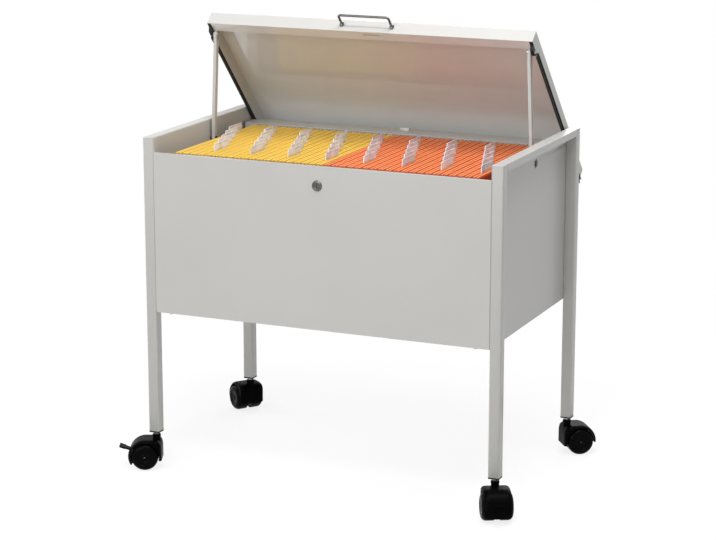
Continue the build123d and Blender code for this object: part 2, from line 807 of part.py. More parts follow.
def build_hood(place, braked):
    """Hood over both wheels, with the neck for the stem and the web for the axle."""
    with BuildPart() as hood:
        with BuildSketch(place.side_plane):
            with BuildLine():
                Polyline(
                    (trail + hood_radius, wheel_radius),
                    (hood_back, wheel_radius),
                    (hood_back, hood_top),
                    (trail, hood_top),
                )
                RadiusArc((trail, hood_top), (trail + hood_radius, wheel_radius), hood_radius)
            make_face()
            with Locations((trail, wheel_radius)):
                Circle(wheel_radius + hood_clearance, mode=Mode.SUBTRACT)
        extrude(amount=hood_half, both=True)
        with BuildSketch(place.end_plane) as front_view:
            with Locations((0, hood_top / 2)):
                Rectangle(2 * hood_half, hood_top)
            fillet(front_view.vertices().group_by(Axis.Y)[-1], hood_shoulder)
        extrude(amount=2 * hood_top, both=True, mode=Mode.INTERSECT)
        with BuildSketch(place.side_plane):
            with BuildLine():
                Polyline(
                    (hood_back + web_inset, wheel_radius + web_rise),
                    (hood_back + web_inset, hood_top - web_inset),
                    (trail, hood_top - web_inset),
                    (trail + boss_radius, wheel_radius),
                    (trail, wheel_radius - boss_radius),
                    (trail - boss_radius, wheel_radius),
                    close=True,
                )
            make_face()
            with Locations((trail, wheel_radius)):
                Circle(boss_radius)
        extrude(amount=web_half, both=True)
        bar(place.point(0, 0, hood_top - neck_root), place.point(0, 0, neck_top), neck_radius)
        bar(place.point(0, 0, stem_bottom), place.point(0, 0, neck_top), stem_radius, Mode.SUBTRACT)
        axle_low = place.point(trail, -web_half, wheel_radius)
        bar(axle_low, place.point(trail, web_half, wheel_radius), axle_radius, Mode.SUBTRACT)
        if braked:
            with BuildSketch(place.side_plane):
                with Locations((lever_ahead, lever_up + lever_window_rise)):
                    Rectangle(lever_window_length, lever_window_height)
            extrude(amount=lever_window_half, both=True, mode=Mode.SUBTRACT)
            reach = lever_pin_half + pivot_play
            pin_low = place.point(lever_ahead, -reach, lever_up)
            pin_high = place.point(lever_ahead, reach, lever_up)
            bar(pin_low, pin_high, lever_pin_radius + pivot_play, Mode.SUBTRACT)
    return hood


def build_stem(place):
    """Steel stem with its collar, from inside the hood's neck up into the post cap."""
    with BuildPart() as stem:
        bar(place.point(0, 0, stem_bottom), place.point(0, 0, post_bottom + stem_reach), stem_radius)
        collar_top = collar_bottom + collar_height
        bar(place.point(0, 0, collar_bottom), place.point(0, 0, collar_top), collar_radius)
    return stem


def build_axle(place):
    """Steel axle, fixed in the hood's web."""
    with BuildPart() as axle:
        left = place.point(trail, -axle_half, wheel_radius)
        bar(left, place.point(trail, axle_half, wheel_radius), axle_radius)
    return axle


def build_wheel(place, hand):
    """One wheel with a rounded outer edge, a blind bore and a moulded pocket inside."""
    centre = place.point(trail, 0, wheel_radius)
    section = Plane(origin=centre, x_dir=place.across * hand, z_dir=place.ahead * -hand)
    bore = axle_radius + axle_play
    pocket_end = wheel_inner + wheel_pocket_depth
    with BuildPart() as wheel:
        with BuildSketch(section):
            with BuildLine():
                Polyline(
                    (wheel_outer, wheel_radius - wheel_edge),
                    (wheel_outer, wheel_face_radius),
                    (wheel_outer - wheel_face_depth, wheel_face_radius - wheel_face_depth),
                    (wheel_outer - wheel_face_depth, 0),
                    (axle_bore_half, 0),
                    (axle_bore_half, bore),
                    (wheel_inner, bore),
                    (wheel_inner, wheel_pocket_inner),
                    (pocket_end, wheel_pocket_inner),
                    (pocket_end, wheel_pocket_outer),
                    (wheel_inner, wheel_pocket_outer),
                    (wheel_inner, wheel_radius - wheel_inner_edge),
                    (wheel_inner + wheel_inner_edge, wheel_radius),
                    (wheel_outer - wheel_edge, wheel_radius),
                )
                RadiusArc(
                    (wheel_outer - wheel_edge, wheel_radius),
                    (wheel_outer, wheel_radius - wheel_edge),
                    wheel_edge,
                )
            make_face()
        revolve(axis=Axis(centre, place.across))
    return wheel


def build_lever(place):
    """Brake lever: hub on a cross pin, a foot pedal outside and a short cam inside."""
    with BuildPart() as lever:
        hub_low = place.point(lever_ahead, -lever_half, lever_up)
        bar(hub_low, place.point(lever_ahead, lever_half, lever_up), lever_hub_radius)
        pin_low = place.point(lever_ahead, -lever_pin_half, lever_up)
        bar(pin_low, place.point(lever_ahead, lever_pin_half, lever_up), lever_pin_radius)
        half = lever_thickness / 2
        root = trail + pedal_root
        tip = trail + pedal_tip
        tip_up = wheel_radius + pedal_rise
        slope = (tip_up - lever_up) / (tip - lever_ahead)
        root_up = lever_up + slope * (root - lever_ahead)
        with BuildSketch(place.side_plane):
            with BuildLine():
                Polyline(
                    (lever_ahead, lever_up - half),
                    (root, root_up - half),
                    (root, root_up + half),
                    (lever_ahead, lever_up + half),
                    close=True,
                )
            make_face()
        extrude(amount=lever_half, both=True)
        with BuildSketch(place.side_plane):
            with BuildLine():
                Polyline(
                    (root, root_up - half),
                    (tip, tip_up - half),
                    (tip, tip_up + half),
                    (root, root_up + half),
                    close=True,
                )
            make_face()
        extrude(amount=pedal_half, both=True)
    return lever


for name, side, end, heading, braked in castors:
    place = CastorPlace(side, end, heading)
    save(build_hood(place, braked), f"{name}_castor_hood")
    save(build_stem(place), f"{name}_castor_stem")
    save(build_axle(place), f"{name}_castor_axle")
    save(build_wheel(place, 1), f"{name}_castor_wheel_a")
    save(build_wheel(place, -1), f"{name}_castor_wheel_b")
    if braked:
        save(build_lever(place), f"{name}_brake_lever")

closing_angle = 90 - degrees(asin((closed_pivot_z - foot_z) / stay_length))
print("stay turn while the lid closes, degrees", round(closing_angle, 3))
print("stay foot", foot_y, foot_z, "pivot", pivot_y, pivot_z, "length", round(stay_length, 3))
print("lid front top edge", round(lid_y, 3), round(lid_z, 3))
print("guide pin", round(guide_pin_y, 3), guide_pin_z)
print("lock", lock_z, "brake pin ahead", round(lever_ahead, 3), "up", round(lever_up, 3))
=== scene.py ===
"""The rolling file cart, dressed: painted steel, hanging files, lock, handle and castors."""
import json
import logging
import math
import random
from dataclasses import dataclass, field
from enum import Enum
from typing import Sequence

import bmesh
import bpy
from mathutils import Matrix, Vector


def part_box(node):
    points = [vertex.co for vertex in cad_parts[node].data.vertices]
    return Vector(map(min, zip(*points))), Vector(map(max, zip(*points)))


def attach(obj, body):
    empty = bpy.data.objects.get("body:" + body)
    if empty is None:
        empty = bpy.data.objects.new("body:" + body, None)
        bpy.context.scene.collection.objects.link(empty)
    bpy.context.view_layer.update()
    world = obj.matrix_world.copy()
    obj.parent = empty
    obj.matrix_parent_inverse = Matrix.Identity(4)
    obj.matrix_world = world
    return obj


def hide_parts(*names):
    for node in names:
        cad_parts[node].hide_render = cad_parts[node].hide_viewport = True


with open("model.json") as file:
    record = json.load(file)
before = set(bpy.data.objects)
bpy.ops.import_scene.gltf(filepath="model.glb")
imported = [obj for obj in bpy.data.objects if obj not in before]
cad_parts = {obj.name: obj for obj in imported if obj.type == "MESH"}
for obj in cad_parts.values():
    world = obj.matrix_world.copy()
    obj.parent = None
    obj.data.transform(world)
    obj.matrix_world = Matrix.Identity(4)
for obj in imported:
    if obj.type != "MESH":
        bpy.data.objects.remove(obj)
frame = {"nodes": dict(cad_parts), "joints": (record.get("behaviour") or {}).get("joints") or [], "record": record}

MM = 0.001
X_AXIS = Vector((1, 0, 0))
Y_AXIS = Vector((0, 1, 0))
Z_AXIS = Vector((0, 0, 1))
log = logging.getLogger("file_cart")
Ring = list[Vector]
Spot = tuple[float, float]
Triple = tuple[float, float, float]
Colour = tuple[float, float, float]
WHITE: Colour = (1.0, 1.0, 1.0)
EVEN: Triple = (1.0, 1.0, 1.0)
# Where the soft patches of a noise start and end
PATCHES: Spot = (0.3, 0.7)


class Side(Enum):
    """Left or right, as a sign along X."""

    LEFT = -1
    RIGHT = 1

    @property
    def word(self) -> str:
        """The side as the frame names it."""
        return self.name.lower()


class End(Enum):
    """Front or back, as the frame names it."""

    FRONT = "front"
    BACK = "back"


class Card(Enum):
    """The two colours of file card."""

    YELLOW = "yellow"
    ORANGE = "orange"


# Each colour's own start for its row's random draws
SEEDS: dict[Card, int] = {Card.YELLOW: 11, Card.ORANGE: 23}


class Signal:
    """A number that varies over a surface. Arithmetic on it adds Math nodes."""

    def __init__(self, nodes: "Nodes", socket: bpy.types.NodeSocket) -> None:
        """Wrap a socket.

        Args:
            nodes: The node tree under construction.
            socket: The output that carries the number.
        """
        self.nodes = nodes
        self.socket = socket

    def math(self, operation: str, *values: "Signal | float") -> "Signal":
        """Add a Math node.

        Args:
            operation: The node's operation.
            values: What its inputs take, in order.

        Returns:
            The node's result.
        """
        links = dict(enumerate(values))
        node = self.nodes.node("ShaderNodeMath", {"operation": operation}, links)
        return Signal(self.nodes, node.outputs[0])

    def __add__(self, other: "Signal | float") -> "Signal":
        """Sum."""
        return self.math("ADD", self, other)

    __radd__ = __add__

    def __sub__(self, other: "Signal | float") -> "Signal":
        """Difference."""
        return self.math("SUBTRACT", self, other)

    def __rsub__(self, other: float) -> "Signal":
        """Difference from a plain number."""
        return self.math("SUBTRACT", other, self)

    def __mul__(self, other: "Signal | float") -> "Signal":
        """Product."""
        return self.math("MULTIPLY", self, other)

    __rmul__ = __mul__

    def highest(self, other: "Signal | float") -> "Signal":
        """The larger of two."""
        return self.math("MAXIMUM", self, other)

    def around(self, middle: float, span: float) -> "Signal":
        """This signal, from 0 to 1, spread evenly about a middle value."""
        return self * span + (middle - span / 2)

    def ramp(self, low: float, high: float) -> "Signal":
        """Smooth step from 0 at low to 1 at high.

        Args:
            low: Where the step starts.
            high: Where it ends.

        Returns:
            The step, from 0 to 1.
        """
        settings = {"interpolation_type": "SMOOTHSTEP"}
        values = {"Value": self, "From Min": low, "From Max": high}
        node = self.nodes.node("ShaderNodeMapRange", settings, values)
        return Signal(self.nodes, node.outputs["Result"])


class Nodes:
    """A node tree under construction, with one method that adds any node."""

    def __init__(self, tree: bpy.types.NodeTree) -> None:
        """Take the tree of a material or of the world."""
        self.tree = tree

    def link(self, target: bpy.types.NodeSocket, value: object) -> None:
        """Set a socket to a number or colour, or feed it from another socket.

        Args:
            target: The input.
            value: A Signal, a socket or a plain value.
        """
        if isinstance(value, Signal):
            value = value.socket
        if isinstance(value, bpy.types.NodeSocket):
            self.tree.links.new(value, target)
        elif isinstance(value, tuple) and len(value) == 3 and target.type == "RGBA":
            target.default_value = (*value, 1.0)
        else:
            target.default_value = value

    def node(self, kind: str, settings: dict | None = None, values: dict | None = None) -> bpy.types.Node:
        """Add a node: its settings first, then its sockets.

        Args:
            kind: The node's type.
            settings: Attributes of the node.
            values: Plain values or links, by socket name or number.

        Returns:
            The new node.
        """
        node = self.tree.nodes.new(kind)
        for name, setting in (settings or {}).items():
            setattr(node, name, setting)
        for name, value in (values or {}).items():
            self.link(node.inputs[name], value)
        return node

    def seen_rays(self) -> Signal:
        """Tell the rays that look at a surface from those that light something else.

        Returns:
            One for rays from the camera, a mirror or glass, and nought for others.
        """
        path = self.node("ShaderNodeLightPath")
        names = ("Is Camera Ray", "Is Glossy Ray", "Is Transmission Ray")
        camera, mirror, glass = (Signal(self, path.outputs[name]) for name in names)
        return camera.highest(mirror).highest(glass)


class Paint(Nodes):
    """A material under construction around its main shader."""

    noise_roughness = 0.55
    # Several sockets of a Mix node share a name, so those for colours go by number
    mix_share, mix_first, mix_second, mix_result = 0, 6, 7, 2

    def __init__(self, name: str) -> None:
        """Start a material.

        Args:
            name: The material's name.
        """
        self.material = bpy.data.materials.new(name)
        self.material.use_nodes = True
        super().__init__(self.material.node_tree)
        self.shader = self.tree.nodes["Principled BSDF"]
        self.output = self.tree.nodes["Material Output"]

    def place(self, stretch: Triple = EVEN) -> bpy.types.NodeSocket:
        """Object coordinates in metres.

        Args:
            stretch: The scale along each axis.

        Returns:
            The stretched coordinates.
        """
        here = self.node("ShaderNodeTexCoord").outputs["Object"]
        values = {0: here, 1: stretch}
        node = self.node("ShaderNodeVectorMath", {"operation": "MULTIPLY"}, values)
        return node.outputs[0]

    def upward(self, kind: str) -> Signal:
        """The upward part of one kind of texture coordinate."""
        vector = self.node("ShaderNodeTexCoord").outputs[kind]
        return Signal(self, self.node("ShaderNodeSeparateXYZ", None, {0: vector}).outputs["Z"])

    def height(self) -> Signal:
        """Height above the floor in metres."""
        return self.upward("Object")

    def facing_down(self) -> Signal:
        """How far the surface faces down on the piece itself, from -1 to 1."""
        return -1 * self.upward("Normal")

    def noise(self, scale: float, detail: float = 2.0, stretch: Triple = EVEN) -> Signal:
        """Noise over the object.

        Args:
            scale: Features per metre.
            detail: How many finer layers it has.
            stretch: Extra scale along each axis.

        Returns:
            The noise, about 0.5.
        """
        place = self.place(stretch)
        values = {"Vector": place, "Scale": scale, "Detail": detail, "Roughness": self.noise_roughness}
        node = self.node("ShaderNodeTexNoise", {"noise_dimensions": "3D"}, values)
        return Signal(self, node.outputs[0])

    def mix(self, share: Signal | float, first: object, second: object) -> bpy.types.NodeSocket:
        """Mix two colours.

        Args:
            share: How much of the second.
            first: A colour or a socket.
            second: A colour or a socket.

        Returns:
            The mixed colour.
        """
        values = {self.mix_share: share, self.mix_first: first, self.mix_second: second}
        return self.node("ShaderNodeMix", {"data_type": "RGBA"}, values).outputs[self.mix_result]

    def bump(self, height: Signal, depth: float) -> None:
        """Raise the surface.

        Args:
            height: The height, in depths.
            depth: One depth, in metres.
        """
        values = {"Height": height, "Distance": depth, "Strength": 1.0}
        node = self.node("ShaderNodeBump", None, values)
        self.link(self.shader.inputs["Normal"], node.outputs[0])

    def feed(self, **sockets: object) -> None:
        """Feed the main shader's inputs, named with underscores for spaces."""
        for name, value in sockets.items():
            self.link(self.shader.inputs[name.replace("_", " ")], value)


def shade(colour: Colour, factor: float) -> Colour:
    """A colour made lighter or darker by a factor."""
    return tuple(channel * factor for channel in colour)


def grey(level: float) -> Colour:
    """A grey of one level."""
    return (level, level, level)


@dataclass(frozen=True)
class PowderCoat:
    """Baked powder paint: an even colour with a fine orange-peel skin."""

    name: str = "powder_coat"
    colour: Colour = (0.585, 0.579, 0.556)
    darker: float = 0.975
    lighter: float = 1.02
    roughness: float = 0.34
    roughness_span: float = 0.1
    clear: float = 0.1
    clear_roughness: float = 0.12
    clear_ior: float = 1.5
    specular: float = 0.35
    cloud_scale: float = 5.0
    cloud_detail: float = 3.0
    cloud_ends: Spot = (0.25, 0.75)
    cloud_share: float = 0.75
    grain_scale: float = 2600.0
    grain_detail: float = 1.0
    grain_height: float = 0.15
    peel_scale: float = 620.0
    peel_depth: float = 0.000012

    def clouded(self, paint: Paint, colour: Colour, share: Signal) -> bpy.types.NodeSocket:
        """A colour that wanders a little from darker to lighter."""
        return paint.mix(share, shade(colour, self.darker), shade(colour, self.lighter))

    def tint(self, paint: Paint, share: Signal) -> bpy.types.NodeSocket:
        """The paint's colour, a little cloudy."""
        return self.clouded(paint, self.colour, share)

    def gloss(self, paint: Paint) -> Signal | float:
        """The share of clear gloss over the paint."""
        return self.clear

    def skin(self, paint: Paint, peel: Signal, grain: Signal) -> Signal:
        """The height of the paint's skin, in peel depths."""
        return peel + grain * self.grain_height

    def make(self) -> bpy.types.Material:
        """Build the material.

        Returns:
            The new material.
        """
        paint = Paint(self.name)
        cloud = paint.noise(self.cloud_scale, self.cloud_detail)
        grain = paint.noise(self.grain_scale, self.grain_detail)
        peel = paint.noise(self.peel_scale)
        share = cloud.ramp(*self.cloud_ends) * self.cloud_share + grain * (1 - self.cloud_share)
        paint.feed(Base_Color=self.tint(paint, share))
        paint.feed(Roughness=peel.around(self.roughness, self.roughness_span))
        paint.feed(Coat_Roughness=self.clear_roughness, Coat_IOR=self.clear_ior)
        paint.feed(Specular_IOR_Level=self.specular)
        paint.feed(Coat_Weight=self.gloss(paint))
        paint.bump(self.skin(paint, peel, grain), self.peel_depth)
        return paint.material


@dataclass(frozen=True)
class LidCoat(PowderCoat):
    """The lid's paint: glossy inside, where it mirrors the files, painted paler inside as painted light, and dusty
    along its foot.
    """

    name: str = "lid_coat"
    colour: Colour = (0.622, 0.616, 0.592)
    clear: float = 0.2
    clear_roughness: float = 0.06
    clear_ior: float = 1.85
    specular: float = 0.05
    peel_depth: float = 0.0000012
    # How much paler the inside is painted: painted light, not the paint's own colour
    fresh: float = 1.23
    under_ends: Spot = (0.1, 0.4)
    dusty_clear: float = 0.1
    dust_from: float = 31.0 * MM
    dust_to: float = 71.0 * MM
    rolled_scale: float = 110.0
    rolled_stretch: Triple = (1.0, 0.03, 0.03)
    rolled_depth: float = 0.00004

    def under(self, paint: Paint) -> Signal:
        """One on the inside of the lid, and nothing on its outside."""
        return paint.facing_down().ramp(*self.under_ends)

    def tint(self, paint: Paint, share: Signal) -> bpy.types.NodeSocket:
        """The paint's colour, painted paler inside: painted light that stands in for the light reaching the lid's
        inside.

        Args:
            paint: The material under construction.
            share: The paint's clouds, from 0 to 1.

        Returns:
            The colour.
        """
        outer = super().tint(paint, share)
        # Painted light: the inside's colour is lifted to stand in for light that reaches it
        inner = self.clouded(paint, shade(self.colour, self.fresh), share)
        return paint.mix(self.under(paint), outer, inner)

    def gloss(self, paint: Paint) -> Signal | float:
        """Clear gloss, full on the inside and dull near the foot, above the rear panel's edge.

        Args:
            paint: The material under construction.

        Returns:
            The share of clear gloss.
        """
        panel_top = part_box("rear_panel")[1].z
        clean = paint.height().ramp(panel_top + self.dust_from, panel_top + self.dust_to)
        inside = clean * (1 - self.dusty_clear) + self.dusty_clear
        return self.under(paint) * (inside - self.clear) + self.clear

    def skin(self, paint: Paint, peel: Signal, grain: Signal) -> Signal:
        """Fine peel over the long waves of the rolled sheet."""
        waves = paint.noise(self.rolled_scale, stretch=self.rolled_stretch)
        return super().skin(paint, peel, grain) + waves * (self.rolled_depth / self.peel_depth)


@dataclass(frozen=True)
class Moulding:
    """Moulded plastic with a fine skin; its gloss goes from matt to polished."""

    name: str
    colour: Colour
    roughness: float
    specular: float = 0.5
    darker: float = 0.85
    lighter: float = 1.15
    roughness_span: float = 0.08
    flow_scale: float = 40.0
    skin_scale: float = 1500.0
    skin_depth: float = 0.00002

    def make(self) -> bpy.types.Material:
        """Build the material.

        Returns:
            The new material.
        """
        paint = Paint(self.name)
        flow = paint.noise(self.flow_scale).ramp(*PATCHES)
        tint = paint.mix(flow, shade(self.colour, self.darker), shade(self.colour, self.lighter))
        paint.feed(Base_Color=tint, Roughness=flow.around(self.roughness, self.roughness_span))
        paint.feed(Specular_IOR_Level=self.specular)
        paint.bump(paint.noise(self.skin_scale), self.skin_depth)
        return paint.material


@dataclass(frozen=True)
class Plating:
    """Bright or brushed metal plate with fine drawn lines."""

    name: str
    colour: Colour
    roughness: float
    roughness_span: float = 0.12
    stained: float = 0.92
    stain_scale: float = 60.0
    line_scale: float = 400.0
    line_detail: float = 3.0
    line_stretch: Triple = (1.0, 1.0, 12.0)
    line_depth: float = 0.000008

    def make(self) -> bpy.types.Material:
        """Build the material.

        Returns:
            The new material.
        """
        paint = Paint(self.name)
        lines = paint.noise(self.line_scale, self.line_detail, self.line_stretch)
        stain = paint.noise(self.stain_scale).ramp(*PATCHES)
        paint.feed(Base_Color=paint.mix(stain, shade(self.colour, self.stained), self.colour))
        paint.feed(Metallic=1.0, Roughness=lines.around(self.roughness, self.roughness_span))
        paint.bump(lines, self.line_depth)
        return paint.material


@dataclass(frozen=True)
class CardStock:
    """Coloured card with fibres, paler along its folds from wear and a painted highlight, and darker down between
    them with painted shade.
    """

    name: str
    colour: Colour
    # Paler colour on the fold tops: wear, and a painted highlight for the sheen that catches light there
    rubbed: Colour
    # Darker colour down between the folds: painted shade
    deep: Colour
    top: float
    # The band at the fold tops that is painted paler, for wear and a painted highlight
    rub: float = 2.2 * MM
    full_rub: float = 0.44 * MM
    fall: float = 7.0 * MM
    least_wear: float = 0.7
    wear_span: float = 0.5
    aged: float = 0.82
    cloud_age: float = 0.175
    fibre_age: float = 0.105
    roughness: float = 0.575
    roughness_span: float = 0.15
    specular: float = 0.35
    cloud_scale: float = 14.0
    cloud_stretch: Triple = (4.0, 1.0, 1.0)
    fibre_scale: float = 900.0
    fibre_detail: float = 4.0
    fibre_stretch: Triple = (1.0, 0.25, 1.0)
    fibre_depth: float = 0.00004

    def make(self) -> bpy.types.Material:
        """Build the material.

        Returns:
            The new material.
        """
        paint = Paint(self.name)
        fibre = paint.noise(self.fibre_scale, self.fibre_detail, self.fibre_stretch)
        cloud = paint.noise(self.cloud_scale, stretch=self.cloud_stretch)
        height = paint.height()
        fold = self.top - self.rub
        # Painted shade: darker down between the folds
        body = paint.mix(height.ramp(self.top - self.fall, fold), self.deep, self.colour)
        age = cloud.ramp(*PATCHES) * self.cloud_age + fibre * self.fibre_age
        aged = paint.mix(age, body, shade(self.colour, self.aged))
        # Paler on the fold tops: wear and a painted highlight
        wear_and_sheen_share = height.ramp(fold, self.top - self.full_rub) * (cloud * self.wear_span + self.least_wear)
        paint.feed(Base_Color=paint.mix(wear_and_sheen_share, aged, self.rubbed))
        paint.feed(Roughness=fibre.around(self.roughness, self.roughness_span))
        paint.feed(Specular_IOR_Level=self.specular)
        paint.bump(fibre, self.fibre_depth)
        return paint.material


@dataclass(frozen=True)
class PaperEdge:
    """A stack of paper seen at its edges, with painted shade in the gaps between sheets."""

    name: str = "paper_stack"
    colour: Colour = (0.74, 0.72, 0.66)
    # How dark the gaps between sheets are painted: painted shade
    gap: float = 0.7
    roughness: float = 0.8
    roughness_span: float = 0.1
    specular: float = 0.2
    sheet_scale: float = 4000.0
    sheet_stretch: Triple = (1.0, 0.01, 0.01)
    sheet_ends: Spot = (0.35, 0.65)
    sheet_depth: float = 0.00005

    def make(self) -> bpy.types.Material:
        """Build the material.

        Returns:
            The new material.
        """
        paint = Paint(self.name)
        sheets = paint.noise(self.sheet_scale, stretch=self.sheet_stretch)
        share = sheets.ramp(*self.sheet_ends)
        # Painted shade: darker lines in the gaps between the sheets
        paint.feed(Base_Color=paint.mix(share, shade(self.colour, self.gap), self.colour))
        paint.feed(Roughness=sheets.around(self.roughness, self.roughness_span))
        paint.feed(Specular_IOR_Level=self.specular)
        paint.bump(sheets, self.sheet_depth)
        return paint.material


@dataclass(frozen=True)
class FloorSheet:
    """Pale paper sweep that reads as white to the camera and keeps a soft shadow."""

    name: str = "paper_sweep"
    own_light: float = 0.82
    shown: float = 0.22
    pale: float = 0.62
    fibre_lift: float = 1.03
    fibre_scale: float = 30.0
    roughness: float = 0.9
    fade: Spot = (0.5, 1.6)

    def shadow_sheet(self, paint: Paint) -> bpy.types.Node:
        """What the eye sees near the cart: a sheet near white that takes a shadow.

        Args:
            paint: The material under construction.

        Returns:
            The shader's node.
        """
        matt = paint.node("ShaderNodeBsdfDiffuse", None, {"Color": grey(self.shown)})
        glow = paint.node("ShaderNodeEmission", None, {"Color": WHITE, "Strength": self.own_light})
        return paint.node("ShaderNodeAddShader", None, {0: matt.outputs[0], 1: glow.outputs[0]})

    def make(self) -> bpy.types.Material:
        """Build the material.

        Returns:
            The new material.
        """
        paint = Paint(self.name)
        fibre = paint.noise(self.fibre_scale)
        sheet = paint.mix(fibre, grey(self.pale), grey(self.pale * self.fibre_lift))
        paint.feed(Base_Color=sheet, Roughness=self.roughness)
        near = self.shadow_sheet(paint)
        far = paint.node("ShaderNodeEmission", None, {"Color": WHITE, "Strength": 1.0})
        away = paint.node("ShaderNodeVectorMath", {"operation": "LENGTH"}, {0: paint.place()})
        share = Signal(paint, away.outputs["Value"]).ramp(*self.fade)
        sweep = paint.node("ShaderNodeMixShader", None, {0: share, 1: near.outputs[0], 2: far.outputs[0]})
        values = {0: paint.seen_rays(), 1: paint.shader.outputs[0], 2: sweep.outputs[0]}
        chosen = paint.node("ShaderNodeMixShader", None, values)
        paint.link(paint.output.inputs["Surface"], chosen.outputs[0])
        return paint.material


class Finishes:
    """Every finish of the cart, each built once."""

    def __init__(self) -> None:
        """Build the materials."""
        self.coat = PowderCoat().make()
        self.lid_coat = LidCoat().make()
        self.dull_black = Moulding("black_moulding", (0.01, 0.01, 0.011), roughness=0.5, specular=0.3).make()
        castor = (0.0014, 0.0014, 0.0016)
        hood = Moulding("castor_moulding", castor, roughness=0.36, specular=0.022, skin_scale=700.0)
        wheel = Moulding("wheel_moulding", castor, roughness=0.24, specular=0.04, skin_scale=700.0)
        self.castor_black = hood.make()
        self.wheel_black = wheel.make()
        self.white = Moulding("white_moulding", (0.78, 0.78, 0.76), roughness=0.4).make()
        self.steel = Plating("zinc_plate", (0.52, 0.52, 0.53), roughness=0.32).make()
        self.nickel = Plating("dark_nickel", (0.15, 0.14, 0.135), roughness=0.16).make()
        self.dark_steel = Plating("blackened_steel", (0.05, 0.05, 0.047), roughness=0.4).make()
        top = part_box("yellow_files")[1].z
        # Each card's own colour, its paler fold tops (wear and a painted highlight) and its painted shade down
        # between the folds
        yellow = {"colour": (0.92, 0.56, 0.045), "rubbed": (1.0, 0.74, 0.17), "deep": (0.8, 0.38, 0.015)}
        orange = {"colour": (0.95, 0.17, 0.04), "rubbed": (1.0, 0.38, 0.16), "deep": (0.7, 0.07, 0.01)}
        self.yellow = CardStock("yellow_card", top=top, **yellow).make()
        self.orange = CardStock("orange_card", top=top, **orange).make()
        self.paper = PaperEdge().make()
        sleeve = Moulding("tab_moulding", (0.76, 0.73, 0.78), roughness=0.3, skin_scale=600.0)
        label = Moulding("tab_label", (0.88, 0.87, 0.89), roughness=0.5, specular=0.3, skin_scale=1800.0)
        self.tab = sleeve.make()
        self.label = label.make()

    def card(self, colour: Card) -> bpy.types.Material:
        """The card of one colour."""
        return self.yellow if colour is Card.YELLOW else self.orange


def turns(steps: int) -> list[float]:
    """Angles spread evenly round a full turn, in radians."""
    return [math.tau * step / steps for step in range(steps)]


def clamp(value: float, limit: float) -> float:
    """A value held between a limit and its negative."""
    return max(-limit, min(limit, value))


def rectangle(low: Spot, high: Spot) -> list[Spot]:
    """A rectangle's corners, from its low corner towards the first measure."""
    return [low, (high[0], low[1]), high, (low[0], high[1])]


@dataclass(frozen=True)
class Bench:
    """A place to draw on: an origin, two directions to draw along and one that leads out."""

    origin: Vector
    right: Vector
    up: Vector
    out: Vector

    def spot(self, right: float, up: float, out: float = 0.0) -> Vector:
        """The point at some distances along the bench's directions."""
        return self.origin + self.right * right + self.up * up + self.out * out

    def circle(self, radius: float, out: float, sides: int) -> Ring:
        """A round ring about the origin, at a distance out from it."""
        return [self.spot(radius * math.cos(a), radius * math.sin(a), out) for a in turns(sides)]


def face_outwards(mesh: bpy.types.Mesh) -> None:
    """Turn the faces of each closed form outwards, whichever way round its rings were drawn.

    Args:
        mesh: The mesh.
    """
    draft = bmesh.new()
    draft.from_mesh(mesh)
    bmesh.ops.recalc_face_normals(draft, faces=draft.faces)
    draft.to_mesh(mesh)
    draft.free()


